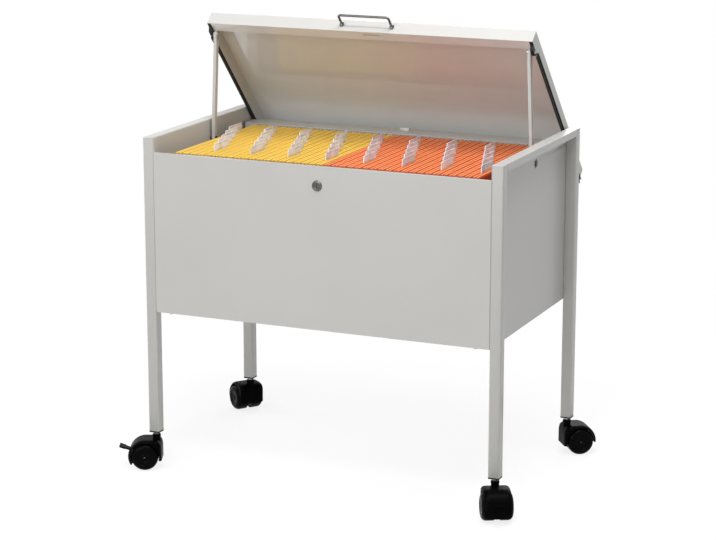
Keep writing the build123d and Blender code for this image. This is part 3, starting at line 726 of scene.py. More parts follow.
class Form:
    """Points and faces of one piece while it is being made, in metres."""

    def __init__(self) -> None:
        """Start empty."""
        self.points: list[Vector] = []
        self.faces: list[tuple[int, ...]] = []

    def loft(self, rings: Sequence[Ring], closed: bool = False) -> "Form":
        """Skin a row of rings that hold as many points each.

        Args:
            rings: The rings, each a loop of points.
            closed: True where the last ring joins the first, so there are no end faces.

        Returns:
            This form.
        """
        start = len(self.points)
        count = len(rings[0])
        for ring in rings:
            self.points.extend(ring)
        spans = len(rings) if closed else len(rings) - 1
        for span in range(spans):
            near = start + span * count
            far = start + (span + 1) % len(rings) * count
            for index in range(count):
                after = (index + 1) % count
                self.faces.append((near + index, near + after, far + after, far + index))
        if not closed:
            last = start + (len(rings) - 1) * count
            self.faces.append(tuple(start + index for index in reversed(range(count))))
            self.faces.append(tuple(last + index for index in range(count)))
        return self

    def block(self, bench: Bench, outline: Sequence[Spot], ends: Sequence[float]) -> "Form":
        """A straight block with one outline from end to end.

        Args:
            bench: Where the outline is drawn.
            outline: The block's corners, as (right, up) places.
            ends: How far out the block starts and stops.

        Returns:
            This form.
        """
        return self.loft([[bench.spot(right, up, out) for right, up in outline] for out in ends])

    def lathe(self, profile: Sequence[Spot], centre: Vector, axis: Vector, steps: int) -> "Form":
        """Turn a closed profile about an axis.

        Args:
            profile: Places as (along the axis, out from it), in metres.
            centre: A point on the axis.
            axis: The axis's direction.
            steps: How many stations the turn has.

        Returns:
            This form.
        """
        along = axis.normalized()
        out = along.orthogonal().normalized()
        rings = []
        for angle in turns(steps):
            spoke = Matrix.Rotation(angle, 3, along) @ out
            rings.append([centre + along * a + spoke * r for a, r in profile])
        return self.loft(rings, closed=True)

    def plug(self, profile: Sequence[Spot], centre: Vector, axis: Vector, steps: int = 48) -> "Form":
        """A turned solid with closed ends.

        Args:
            profile: Its rings, as (along the axis, radius), in metres.
            centre: A point on the axis.
            axis: The axis's direction.
            steps: How many sides each ring has.

        Returns:
            This form.
        """
        along = axis.normalized()
        right = along.orthogonal().normalized()
        bench = Bench(centre, right, along.cross(right), along)
        return self.loft([bench.circle(radius, out, steps) for out, radius in profile])

    def build(self, name: str, material: bpy.types.Material, crease: float = 35.0) -> bpy.types.Object:
        """Make the mesh object.

        Args:
            name: The piece's name.
            material: Its finish.
            crease: The angle in degrees past which an edge stays sharp.

        Returns:
            The new object.
        """
        mesh = bpy.data.meshes.new(name)
        mesh.from_pydata([tuple(p) for p in self.points], [], self.faces)
        mesh.validate()
        face_outwards(mesh)
        mesh.materials.append(material)
        mesh.shade_smooth()
        mesh.set_sharp_from_angle(angle=math.radians(crease))
        piece = bpy.data.objects.new(name, mesh)
        bpy.context.scene.collection.objects.link(piece)
        return piece


def soften(piece: bpy.types.Object, width: float, angle: float = 32.0, segments: int = 2) -> None:
    """Round a piece's sharp edges.

    Args:
        piece: A mesh object.
        width: The rounding's width in metres.
        angle: Edges sharper than this, in degrees, are rounded.
        segments: How many facets the rounding has.
    """
    bevel = piece.modifiers.new("soft_edges", "BEVEL")
    bevel.width = width
    bevel.segments = segments
    bevel.limit_method = "ANGLE"
    bevel.angle_limit = math.radians(angle)
    bevel.harden_normals = True


def seat(piece: bpy.types.Object, body: str, slot: str, *nodes: str) -> None:
    """Let a finished piece ride on its body and stand for its nodes.

    Args:
        piece: The piece, in place.
        body: The body it moves with.
        slot: The record's material slot; not used.
        nodes: The nodes it stands for.
    """
    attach(piece, body)
    if nodes:
        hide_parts(*nodes)
    log.info("%s rides on %s", piece.name, body)


def joint(name: str) -> dict:
    """A joint of the frame, by name."""
    return next(j for j in frame["joints"] if j["name"] == name)


@dataclass
class PlainNodes:
    """The nodes whose own shape is right: they keep it and get a finish and soft edges."""

    finishes: Finishes
    weld: float = 0.01 * MM
    usual_edge: float = 0.25 * MM
    # The rounding of the larger pieces' edges, by how their names end
    edges: dict[str, float] = field(
        default_factory=lambda: {
            "front_panel": 0.9 * MM,
            "rear_panel": 0.8 * MM,
            "_wall": 0.45 * MM,
            "bottom_sheet": 0.4 * MM,
            "lid_shell": 0.38 * MM,
            "_top_rail": 0.5 * MM,
            "_stay": 0.5 * MM,
            "_lid_bracket": 0.35 * MM,
            "_lid_guide": 0.35 * MM,
            "lid_rest_block": 0.6 * MM,
            "_hanging_rail": 0.3 * MM,
            "_file_hangers": 0.2 * MM,
        }
    )

    def edge_of(self, name: str) -> float:
        """The rounding of one node's edges."""
        return next((width for end, width in self.edges.items() if name.endswith(end)), self.usual_edge)

    def finish_of(self, name: str, slot: str) -> bpy.types.Material:
        """Choose a node's finish, by its own name or else by its slot.

        Args:
            name: The node's name.
            slot: The record's material slot.

        Returns:
            The finish.
        """
        by_name = {"lid_shell": self.finishes.lid_coat, "stay_foot_bolts": self.finishes.dark_steel}
        by_slot = {
            "cart_paint": self.finishes.coat,
            "black_plastic": self.finishes.dull_black,
            "white_plastic": self.finishes.white,
            "steel": self.finishes.steel,
        }
        return by_name.get(name) or by_slot[slot]

    def build(self) -> None:
        """Dress every node that is still shown."""
        slots = {part["node"]: part["material_slot"] for part in frame["record"]["subparts"]}
        for name, node in frame["nodes"].items():
            if node.hide_render:
                continue
            node.data.materials.clear()
            node.data.materials.append(self.finish_of(name, slots[name]))
            join = node.modifiers.new("joined_faces", "WELD")
            join.merge_threshold = self.weld
            soften(node, self.edge_of(name))
            log.info("%s keeps its shape, in %s", name, slots[name])


@dataclass
class FileRow:
    """One colour of hanging files: folded cards and the papers in them."""

    finishes: Finishes
    colour: Card
    count: int = 20
    card: float = 0.6 * MM
    crease: float = 40.0
    half_top: float = 4.7 * MM
    half_body: float = 3.2 * MM
    ridge: float = 3.2 * MM
    ridge_inner: float = 2.56 * MM
    ridge_depth: float = 8.0 * MM
    ridge_steps: int = 6
    flare: float = 16.0 * MM
    fold: float = 0.96 * MM
    end_gap: float = 5.0 * MM
    rail_half: float = 1.0 * MM
    stations: int = 14
    wave: float = 0.2 * MM
    least_wave: float = 0.2
    wave_turns: float = 1.1
    sag: float = 0.35 * MM
    pinch: float = 0.012
    pinch_turn: float = 4.0
    paper_half: float = 1.5 * MM
    thinnest: float = 0.5
    paper_lift: float = 2.4 * MM
    paper_top: float = 15.0 * MM
    paper_drop: float = 6.0 * MM
    paper_shift: float = 0.6 * MM
    paper_inset: float = 9.0 * MM

    def __post_init__(self) -> None:
        """Read the row's place from the frame."""
        self.low, self.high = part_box(f"{self.colour.value}_files")
        self.first = self.low.x + self.half_top
        self.pitch = (self.high.x - self.low.x - 2 * self.half_top) / (self.count - 1)
        self.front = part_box("front_hanging_rail")[1].y - self.rail_half + self.end_gap
        self.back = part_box("rear_hanging_rail")[0].y + self.rail_half - self.end_gap
        self.draw = random.Random(SEEDS[self.colour])

    def section(self) -> list[Spot]:
        """One card folded at the bottom, with a round ridge along each top edge.

        Returns:
            Places around the card's section, as (across, up).
        """
        top = self.high.z
        bottom = self.low.z
        shoulder = top - self.ridge_depth
        body = self.half_body
        crown = self.ridge / 2
        middle = self.half_top - crown
        outside = [(body, bottom + body), (body, top - self.flare), (self.half_top, shoulder)]
        arc = [math.pi * step / self.ridge_steps for step in range(self.ridge_steps + 1)]
        ridge = [(middle + crown * math.cos(a), top - crown + crown * math.sin(a)) for a in arc]
        inside = [
            (self.half_top - self.ridge_inner, shoulder - self.card),
            (self.half_top - self.card, shoulder - 2 * self.card),
            (body - self.card, top - self.flare - self.card),
            (body - self.card, bottom + body + self.card),
        ]
        right = outside + ridge + inside
        left = [(-x, z) for x, z in reversed(right)]
        return [(0.0, bottom)] + right + [(0.0, bottom + self.fold)] + left

    def cards(self) -> bpy.types.Object:
        """All the cards of the row, each with its own slight wave.

        Returns:
            The piece.
        """
        form = Form()
        section = self.section()
        for index in range(self.count):
            centre = self.first + index * self.pitch
            phase = self.draw.uniform(0, math.tau)
            size = self.draw.uniform(self.least_wave, 1.0) * self.wave
            lean = self.draw.uniform(-1.0, 1.0) * self.wave
            rings = []
            for station in range(self.stations + 1):
                share = station / self.stations
                y = self.front + (self.back - self.front) * share
                bow = size * math.sin(phase + math.tau * self.wave_turns * share) + lean * (share - 0.5)
                sag = self.sag * math.sin(math.pi * share)
                spread = 1.0 - self.pinch * math.sin(phase + self.pinch_turn * share)
                ring = []
                for x, z in section:
                    high = (z - self.low.z) / (self.high.z - self.low.z)
                    ring.append(Vector((centre + x * spread + bow * high * high, y, z - sag * high)))
                rings.append(ring)
            form.loft(rings)
        return form.build(f"{self.colour.value}_cards", self.finishes.card(self.colour), self.crease)

    def papers(self) -> bpy.types.Object:
        """The papers standing in the folds.

        Returns:
            The piece.
        """
        form = Form()
        bottom = self.low.z + self.half_body + self.paper_lift
        ends = (self.front + self.paper_inset, self.back - self.paper_inset)
        for index in range(self.count):
            centre = self.first + index * self.pitch
            top = self.high.z - self.paper_top - self.draw.uniform(0, self.paper_drop)
            half = self.paper_half * self.draw.uniform(self.thinnest, 1.0)
            shift = self.draw.uniform(-self.paper_shift, self.paper_shift)
            bench = Bench(X_AXIS * (centre + shift), X_AXIS, Z_AXIS, Y_AXIS)
            form.block(bench, rectangle((-half, bottom), (half, top)), ends)
        return form.build(f"{self.colour.value}_papers", self.finishes.paper)

    def build(self) -> None:
        """Build and seat the row."""
        slot = f"{self.colour.value}_card"
        seat(self.cards(), "root", slot, f"{self.colour.value}_files")
        seat(self.papers(), "root", slot)


@dataclass
class TabRow:
    """The index tabs of one colour: a plastic sleeve on each file with a blank label."""

    finishes: Finishes
    row: FileRow
    positions: int = 5
    length: float = 56.0 * MM
    thickness: float = 2.0 * MM
    soft: float = 0.45 * MM
    slope: float = 3.0 * MM
    knee: float = 2.1 * MM
    bend: float = 1.5 * MM
    ease: float = 0.6 * MM
    label_inset: float = 2.6 * MM
    label_proud: float = 0.12 * MM

    def __post_init__(self) -> None:
        """Read the tabs' places from the frame."""
        self.colour = self.row.colour.value
        self.low, self.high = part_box(f"{self.colour}_file_tabs")
        self.step = (self.high.y - self.low.y - self.length) / (self.positions - 1)

    def benches(self) -> list[Bench]:
        """Where each tab is drawn: from its front end, with its thickness along X.

        Returns:
            One bench for each file.
        """
        found = []
        for index in range(self.row.count):
            place = (self.row.count - 1 - index) % self.positions
            x = self.row.first + index * self.row.pitch - self.row.half_top + self.row.ridge / 2
            front = Vector((x, self.low.y + place * self.step, 0))
            found.append(Bench(front, Y_AXIS, Z_AXIS, X_AXIS))
        return found

    def outline(self, inset: float) -> list[Spot]:
        """The sleeve's edge.

        Args:
            inset: How far the edge is drawn in.

        Returns:
            Its corners, as (back, up) places.
        """
        near = inset
        far = self.length - inset
        low = self.low.z + inset
        high = self.high.z - inset
        return [
            (near, low),
            (far, low),
            (far - self.knee, high - self.bend),
            (far - self.slope - self.ease, high),
            (near + self.slope + self.ease, high),
            (near + self.knee, high - self.bend),
        ]

    def sleeves(self) -> bpy.types.Object:
        """The plastic sleeves.

        Returns:
            The piece.
        """
        form = Form()
        half = self.thickness / 2
        for bench in self.benches():
            form.block(bench, self.outline(0.0), (-half, half))
        piece = form.build(f"{self.colour}_tab_sleeves", self.finishes.tab)
        soften(piece, self.soft)
        return piece

    def labels(self) -> bpy.types.Object:
        """The blank paper labels, a hair proud of the sleeves' faces.

        Returns:
            The piece.
        """
        form = Form()
        for bench in self.benches():
            for face in (-self.thickness / 2, self.thickness / 2):
                ends = (face - self.label_proud, face + self.label_proud)
                form.block(bench, self.outline(self.label_inset), ends)
        return form.build(f"{self.colour}_tab_labels", self.finishes.label)

    def build(self) -> None:
        """Build and seat the tabs."""
        seat(self.sleeves(), "root", "tab_plastic", f"{self.colour}_file_tabs")
        seat(self.labels(), "root", "tab_plastic")


@dataclass
class Posts:
    """The four square-tube posts with rounded corners and a welded plate at each top."""

    finishes: Finishes
    wall: float = 1.5 * MM
    corner: float = 1.9 * MM
    inner_corner: float = 0.95 * MM
    corner_steps: int = 4
    mouth_depth: float = 6.0 * MM
    soft: float = 0.4 * MM
    seam: float = 0.5 * MM
    seam_depth: float = 0.35 * MM
    plate: float = 1.5 * MM
    crease: float = 50.0

    def square(self, centre: Vector, half: float, corner: float, z: float) -> Ring:
        """A rounded square at one height.

        Args:
            centre: The post's middle.
            half: Half the square's side.
            corner: The radius of its corners.
            z: Its height.

        Returns:
            The ring.
        """
        ring = []
        inner = half - corner
        for quarter, (sx, sy) in enumerate(((1, 1), (-1, 1), (-1, -1), (1, -1))):
            for step in range(self.corner_steps + 1):
                angle = math.pi / 2 * (quarter + step / self.corner_steps)
                x = centre.x + sx * inner + corner * math.cos(angle)
                y = centre.y + sy * inner + corner * math.sin(angle)
                ring.append(Vector((x, y, z)))
        return ring

    def post(self, name: str) -> bpy.types.Object:
        """One post, standing where its node stands.

        Args:
            name: The node's name.

        Returns:
            The piece.
        """
        low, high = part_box(name)
        half = (high.x - low.x) / 2
        mouth = half - self.wall
        soft = self.soft
        seam_top = high.z - self.plate
        stations = [
            (low.z + self.mouth_depth, mouth, self.inner_corner),
            (low.z + soft / 2, mouth, self.inner_corner),
            (low.z, mouth + soft / 2, self.inner_corner),
            (low.z, half - soft, self.corner),
            (low.z + soft, half, self.corner),
            (seam_top - self.seam, half, self.corner),
            (seam_top - self.seam / 2, half - self.seam_depth, self.corner),
            (seam_top, half, self.corner),
            (high.z - soft, half, self.corner),
            (high.z - soft / 3, half - soft / 3, self.corner),
            (high.z, half - soft, self.corner),
        ]
        rings = [self.square((low + high) / 2, size, corner, z) for z, size, corner in stations]
        return Form().loft(rings).build(f"{name}_tube", self.finishes.coat, self.crease)

    def build(self) -> None:
        """Build and seat the posts."""
        for end in End:
            for side in Side:
                name = f"{end.value}_{side.word}_post"
                seat(self.post(name), "root", "cart_paint", name)


@dataclass
class Handle:
    """A bent rod on two turned feet, on the lid's front lip."""

    finishes: Finishes
    rod: float = 2.2 * MM
    rod_sides: int = 20
    bend: float = 5.0 * MM
    bend_steps: int = 10
    reach: float = 25.0 * MM
    foot_radius: float = 4.4 * MM
    foot_height: float = 2.2 * MM
    foot_soft: float = 0.5 * MM
    collar_height: float = 1.2 * MM
    collar_lip: float = 0.35 * MM
    lean: float = math.radians(46.5)

    def __post_init__(self) -> None:
        """Work out the handle's place on the lid."""
        low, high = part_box("lid_handle")
        self.half_span = (high.x - low.x) / 2 - self.foot_radius
        out = Vector((0, -math.cos(self.lean), math.sin(self.lean)))
        up = Vector((0, math.sin(self.lean), math.cos(self.lean)))
        foot = Vector((0, low.y, high.z)) - out * (self.reach + self.rod)
        self.bench = Bench(foot, X_AXIS, out, up)

    def path(self) -> list[Vector]:
        """The rod's middle line, with round corners.

        Returns:
            Its points, from left to right.
        """
        line = [self.bench.spot(-self.half_span, 0.0)]
        for side, start in ((Side.LEFT, math.pi), (Side.RIGHT, math.pi / 2)):
            middle = side.value * (self.half_span - self.bend)
            for step in range(self.bend_steps + 1):
                angle = start - math.pi / 2 * step / self.bend_steps
                reach = self.reach - self.bend + self.bend * math.sin(angle)
                line.append(self.bench.spot(middle + self.bend * math.cos(angle), reach))
        line.append(self.bench.spot(self.half_span, 0.0))
        return line

    def rod_rings(self) -> list[Ring]:
        """The rod's skin.

        Returns:
            A ring round each point of its path.
        """
        line = self.path()
        rings = []
        for index, point in enumerate(line):
            before = line[max(index - 1, 0)]
            after = line[min(index + 1, len(line) - 1)]
            run = (after - before).normalized()
            section = Bench(point, run.cross(self.bench.out), self.bench.out, run)
            rings.append(section.circle(self.rod, 0.0, self.rod_sides))
        return rings

    def build(self) -> None:
        """Build and seat the handle."""
        form = Form().loft(self.rod_rings())
        foot = [
            (0, self.foot_radius - self.foot_soft),
            (self.foot_soft, self.foot_radius),
            (self.foot_height - self.foot_soft, self.foot_radius),
            (self.foot_height, self.foot_radius - self.foot_soft),
            (self.foot_height + self.collar_height, self.rod + self.collar_lip),
        ]
        for side in Side:
            form.plug(foot, self.bench.spot(side.value * self.half_span, 0.0), self.bench.up)
        seat(form.build("lid_handle_rod", self.finishes.nickel), "lid", "chrome", "lid_handle")


@dataclass
class Lock:
    """The key lock: a stepped bezel around a plug with a key slot."""

    finishes: Finishes
    bezel_radius: float = 9.5 * MM
    bezel_height: float = 2.5 * MM
    bezel_soft: float = 0.15 * MM
    # How the bezel rounds off at its mouth and its rim, as steps (down, across)
    mouth_steps: tuple[Spot, ...] = ((0.6 * MM, 0.0), (0.2 * MM, 0.4 * MM), (0.0, 1.0 * MM))
    rim_steps: tuple[Spot, ...] = (
        (0.0, 2.4 * MM),
        (0.35 * MM, 1.1 * MM),
        (1.1 * MM, 0.35 * MM),
        (1.8 * MM, 0.0),
    )
    bezel_sides: int = 72
    bezel_crease: float = 50.0
    barrel_radius: float = 7.5 * MM
    barrel_back: float = 8.0 * MM
    plug_radius: float = 5.0 * MM
    plug_play: float = 0.05 * MM
    plug_soft: float = 0.4 * MM
    plug_sides: int = 48
    plug_crease: float = 40.0
    slot_half_width: float = 0.6 * MM
    slot_half_height: float = 3.2 * MM
    slot_squareness: float = 1.6
    slot_depth: float = 4.0 * MM
    slot_lip: float = 0.1 * MM

    def __post_init__(self) -> None:
        """Read the lock's place from its joint."""
        centre = Vector(joint("lock_turn")["pos_m"])
        self.bench = Bench(centre, X_AXIS, Z_AXIS, -Y_AXIS)

    def barrel(self) -> bpy.types.Object:
        """The barrel and its bezel, with a turned step.

        Returns:
            The piece.
        """
        bore = self.plug_radius + self.plug_play
        profile = [(self.bezel_height - down, bore + across) for down, across in self.mouth_steps]
        profile += [(self.bezel_height - down, self.bezel_radius - across) for down, across in self.rim_steps]
        profile += [
            (self.bezel_soft, self.bezel_radius),
            (0.0, self.bezel_radius - self.bezel_soft),
            (0.0, self.barrel_radius),
            (-self.barrel_back, self.barrel_radius),
            (-self.barrel_back, bore),
        ]
        form = Form().lathe(profile, self.bench.origin, self.bench.out, self.bezel_sides)
        return form.build("lock_bezel", self.finishes.nickel, self.bezel_crease)

    def keyway(self, out: float) -> Ring:
        """The edge of the key slot, at a distance out from the panel.

        Args:
            out: The distance.

        Returns:
            A ring with as many points as the plug's circles.
        """
        ring = []
        for angle in turns(self.plug_sides):
            right = clamp(self.slot_half_height * math.cos(angle), self.slot_half_width)
            up = self.slot_half_height * clamp(self.slot_squareness * math.sin(angle), 1.0)
            ring.append(self.bench.spot(right, up, out))
        return ring

    def plug(self) -> bpy.types.Object:
        """The plug that turns with the key, with a slot cut down its face.

        Returns:
            The piece.
        """
        face = self.bezel_height
        skin = [
            (face, self.plug_radius - self.plug_soft),
            (face - self.plug_soft, self.plug_radius),
            (-self.barrel_back, self.plug_radius),
        ]
        rings = [self.keyway(out) for out in (face - self.slot_depth, face - self.slot_lip, face)]
        rings += [self.bench.circle(radius, out, self.plug_sides) for out, radius in skin]
        return Form().loft(rings).build("lock_plug_face", self.finishes.nickel, self.plug_crease)

    def build(self) -> None:
        """Build and seat the lock."""
        seat(self.barrel(), "root", "chrome", "lock_barrel")
        seat(self.plug(), "lock_plug", "chrome", "lock_plug")


@dataclass
class StayBolts:
    """A toothed washer under the head of each stay's foot bolt, outside the side walls."""

    finishes: Finishes
    radius: float = 8.0 * MM
    root_radius: float = 4.8 * MM
    teeth: int = 6
    tooth_steps: int = 4
    clearance: float = 0.02 * MM
    thickness: float = 0.7 * MM
    shown: float = 1.5 * MM

    def outline(self) -> list[Spot]:
        """The washer's toothed edge.

        Returns:
            Places round it, as (back, up).
        """
        edge = []
        steps = self.teeth * self.tooth_steps
        for step in range(steps):
            radius = self.radius if step % self.tooth_steps < self.tooth_steps / 2 else self.root_radius
            angle = math.tau * (step + 0.5) / steps
            edge.append((radius * math.cos(angle), radius * math.sin(angle)))
        return edge

    def build(self) -> None:
        """Build and seat a washer for each side."""
        low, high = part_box("stay_foot_bolts")
        middle = (low + high) / 2
        form = Form()
        for side in Side:
            head = high.x if side is Side.RIGHT else low.x
            wall = Vector((head - side.value * self.shown, middle.y, middle.z))
            bench = Bench(wall, Y_AXIS, Z_AXIS, X_AXIS * side.value)
            form.block(bench, self.outline(), (self.clearance, self.thickness))
        seat(form.build("stay_bolt_washers", self.finishes.dark_steel), "root", "steel")


@dataclass
class Castor:
    """One castor: a rounded hood over two wheels on a fixed axle."""

    finishes: Finishes
    name: str
    braked: bool
    soft: float = 0.6 * MM
    crease: float = 40.0
    hood_radius: float = 31.0 * MM
    hood_half: float = 24.5 * MM
    hood_inner: float = 26.4 * MM
    hood_turns: int = 64
    hood_stations: int = 20
    shoulder: float = 9.0 * MM
    shoulder_drop: float = 4.05 * MM
    roundness_ahead: float = 2.0
    roundness_behind: float = 5.0
    plain_skirt: float = math.radians(-4.0)
    braked_skirt: float = math.radians(-30.0)
    stem_skirt: float = math.radians(194.0)
    web_half: float = 4.6 * MM
    web_back: float = 29.0 * MM
    web_foot: float = 10.0 * MM
    web_top: float = 28.0 * MM
    boss_radius: float = 8.0 * MM
    boss_corner: float = 5.6 * MM
    neck_radius: float = 7.2 * MM
    neck_foot: float = 44.0 * MM
    neck_top: float = 64.0 * MM
    neck_soft: float = 0.3 * MM
    collar_height: float = 5.0 * MM
    collar_proud: float = 0.5 * MM
    collar_foot: float = 0.4 * MM
    collar_top: float = 0.8 * MM
    wheel_radius: float = 25.0 * MM
    wheel_inner: float = 5.2 * MM
    wheel_outer: float = 28.0 * MM
    wheel_sides: int = 80
    inner_soft: float = 1.0 * MM
    edge: float = 9.0 * MM
    edge_steps: int = 8
    dish_ends: Spot = (15.3 * MM, 14.5 * MM)
    dish_depth: float = 0.8 * MM
    groove_outer: Spot = (7.8 * MM, 7.2 * MM)
    groove_inner: Spot = (6.0 * MM, 5.4 * MM)
    groove_depth: float = 0.5 * MM
    axle_bore: float = 3.05 * MM
    axle_bore_end: float = 24.6 * MM
    cap_bore: float = 1.5 * MM
    lever_half: float = 7.0 * MM
    lever_thickness: float = 3.0 * MM
    lever_hub: float = 2.9 * MM
    lever_hub_soft: float = 0.3 * MM
    lever_hub_sides: int = 28
    pedal_half: float = 10.0 * MM
    pedal_root: float = 36.5 * MM
    pedal_tip: float = 47.5 * MM
    pedal_rise: float = 16.5 * MM

    def __post_init__(self) -> None:
        """Read the castor's place and heading from its joints."""
        swivel = Vector(joint(f"{self.name}_swivel")["pos_m"])
        spin = joint(f"{self.name}_wheel_a_spin")
        axle = Vector(spin["pos_m"])
        self.stem = Vector((swivel.x, swivel.y, 0.0))
        ahead = Vector((axle.x - swivel.x, axle.y - swivel.y, 0.0)).normalized()
        self.bench = Bench(axle, ahead, Z_AXIS, Vector(spin["axis"]).normalized())

    def reach(self, angle: float) -> float:
        """Work out how far the hood's skin stands from the axle.

        Args:
            angle: The angle round the axle, 0 ahead and a quarter turn upwards.

        Returns:
            The distance.
        """
        ahead = abs(math.cos(angle))
        up = abs(math.sin(angle))
        power = self.roundness_ahead if math.cos(angle) > 0 else self.roundness_behind
        return self.hood_radius / (ahead**power + up**power) ** (1 / power)

    def hood_ring(self, angle: float) -> Ring:
        """The hood's section at one angle round the axle.

        Args:
            angle: The angle, as for reach.

        Returns:
            A ring along its skin and back along its inner face.
        """
        outline = []
        for station in range(self.hood_stations + 1):
            across = self.hood_half * (2 * station / self.hood_stations - 1)
            past = max(0.0, abs(across) - (self.hood_half - self.shoulder)) / self.shoulder
            drop = self.shoulder_drop * (1 - math.sqrt(max(0.0, 1 - past**2)))
            outline.append((self.reach(angle) - drop, across))
        outline += [(self.hood_inner, self.hood_half * share) for share in (1, 1 / 3, -1 / 3, -1)]
        return [self.bench.spot(math.cos(angle) * r, math.sin(angle) * r, across) for r, across in outline]

    def hood(self) -> bpy.types.Object:
        """The hood's rounded skin, which reaches further down in front on a braked castor.

        Returns:
            The piece.
        """
        start = self.braked_skirt if self.braked else self.plain_skirt
        sweep = self.stem_skirt - start
        steps = self.hood_turns
        form = Form().loft([self.hood_ring(start + sweep * step / steps) for step in range(steps + 1)])
        piece = form.build(f"{self.name}_castor_shell", self.finishes.castor_black, self.crease)
        soften(piece, self.soft, self.crease)
        return piece

    def core(self) -> bpy.types.Object:
        """The web that holds the axle, and the neck.

        Returns:
            The piece.
        """
        boss = self.boss_radius
        corner = self.boss_corner
        web = [(-self.web_back, self.web_foot), (-self.web_back, self.web_top), (0.0, self.web_top)]
        web += [(boss, 0.0), (corner, -corner), (0.0, -boss), (-corner, -corner), (-boss, 0.0)]
        form = Form().block(self.bench, web, (self.web_half, -self.web_half))
        collar = self.neck_top - self.collar_height
        proud = self.neck_radius + self.collar_proud
        neck = [
            (self.neck_foot, self.neck_radius),
            (collar, self.neck_radius),
            (collar + self.collar_foot, proud),
            (self.neck_top - self.collar_top, proud),
            (self.neck_top, self.neck_radius - self.neck_soft),
        ]
        form.plug(neck, self.stem, Z_AXIS)
        piece = form.build(f"{self.name}_castor_core", self.finishes.castor_black, self.crease)
        soften(piece, self.soft, self.crease)
        return piece

    def wheel(self, letter: str, hand: int) -> bpy.types.Object:
        """One wheel with a rounded edge and a ringed face.

        Args:
            letter: The wheel's letter in the frame.
            hand: 1 or -1, the way that its face looks along the axle.

        Returns:
            The piece.
        """
        face = self.wheel_outer
        dish = face - self.dish_depth
        groove = dish - self.groove_depth
        profile = [
            (self.wheel_inner, self.axle_bore),
            (self.wheel_inner, self.wheel_radius - self.inner_soft),
            (self.wheel_inner + self.inner_soft, self.wheel_radius),
        ]
        for step in range(self.edge_steps + 1):
            angle = math.pi / 2 * step / self.edge_steps
            along = face - self.edge + self.edge * math.sin(angle)
            profile.append((along, self.wheel_radius - self.edge + self.edge * math.cos(angle)))
        profile += zip((face, dish), self.dish_ends)
        profile += zip((dish, groove), self.groove_outer)
        profile += zip((groove, dish), self.groove_inner)
        profile += [(dish, self.cap_bore), (self.axle_bore_end, self.cap_bore)]
        profile += [(self.axle_bore_end, self.axle_bore)]
        form = Form().lathe(profile, self.bench.origin, self.bench.out * hand, self.wheel_sides)
        return form.build(f"{self.name}_wheel_{letter}_disc", self.finishes.wheel_black, self.crease)

    def bar(self, near: Spot, far: Spot) -> list[Spot]:
        """The outline of a bar as thick as the lever.

        Args:
            near: Where its middle line starts, as (ahead, up).
            far: Where it ends.

        Returns:
            The corners.
        """
        half = self.lever_thickness / 2
        below = [(ahead, up - half) for ahead, up in (near, far)]
        above = [(ahead, up + half) for ahead, up in (far, near)]
        return below + above

    def lever(self) -> bpy.types.Object:
        """The brake lever: a hub on its pin, an arm and a wider pedal.

        Returns:
            The piece.
        """
        place = Vector(joint(f"{self.name}_brake_press")["pos_m"])
        end = self.lever_half
        soft = self.lever_hub_soft
        hub = [(-end, self.lever_hub - soft), (-end + soft, self.lever_hub)]
        hub += [(end - soft, self.lever_hub), (end, self.lever_hub - soft)]
        form = Form().plug(hub, place, self.bench.out, self.lever_hub_sides)
        away = place - self.bench.origin
        pin = (away.dot(self.bench.right), away.z)
        tip = (self.pedal_tip, self.pedal_rise)
        slope = (tip[1] - pin[1]) / (tip[0] - pin[0])
        root = (self.pedal_root, pin[1] + slope * (self.pedal_root - pin[0]))
        form.block(self.bench, self.bar(pin, root), (self.lever_half, -self.lever_half))
        form.block(self.bench, self.bar(root, tip), (self.pedal_half, -self.pedal_half))
        piece = form.build(f"{self.name}_brake_pedal", self.finishes.castor_black)
        soften(piece, self.soft)
        return piece

    def build(self) -> None:
        """Build and seat the castor's pieces."""
        body = f"{self.name}_castor"
        seat(self.hood(), body, "castor_plastic", f"{body}_hood")
        seat(self.core(), body, "castor_plastic")
        for letter, hand in (("a", 1), ("b", -1)):
            wheel = self.wheel(letter, hand)
            seat(wheel, f"{self.name}_wheel_{letter}", "castor_plastic", f"{body}_wheel_{letter}")
        if self.braked:
            name = f"{self.name}_brake_lever"
            seat(self.lever(), name, "castor_plastic", name)


def outward(turn: float, rise: float) -> Vector:
    """The direction from the cart at some degrees round it and above the horizon.

    Args:
        turn: Degrees round the cart, 0 in front and 90 at its right.
        rise: Degrees above the horizon.

    Returns:
        The direction, one metre long.
    """
    round_cart = math.radians(turn)
    above = math.radians(rise)
    flat = math.cos(above)
    return Vector((math.sin(round_cart) * flat, -math.cos(round_cart) * flat, math.sin(above)))


def look_back(viewer: bpy.types.Object, aim: Vector, out: Vector, far: float) -> None:
    """Stand a camera or a lamp off the cart and turn it back to what it looks at.

    Args:
        viewer: The camera or lamp.
        aim: The point that it looks at.
        out: The direction from there to it.
        far: Its distance in metres.
    """
    bpy.context.scene.collection.objects.link(viewer)
    viewer.location = aim + out * far
    viewer.rotation_euler = (-out).to_track_quat("-Z", "Y").to_euler()


@dataclass(frozen=True)
class Lamp:
    """A square soft lamp that looks at the cart, with turn and rise in degrees."""

    name: str
    turn: float
    rise: float
    far: float
    size: float
    watts: float
    aim_height: float = 0.4

    def build(self) -> None:
        """Add the lamp."""
        data = bpy.data.lights.new(self.name, "AREA")
        data.shape = "SQUARE"
        data.size = self.size
        data.energy = self.watts
        lamp = bpy.data.objects.new(self.name, data)
        look_back(lamp, Z_AXIS * self.aim_height, outward(self.turn, self.rise), self.far)


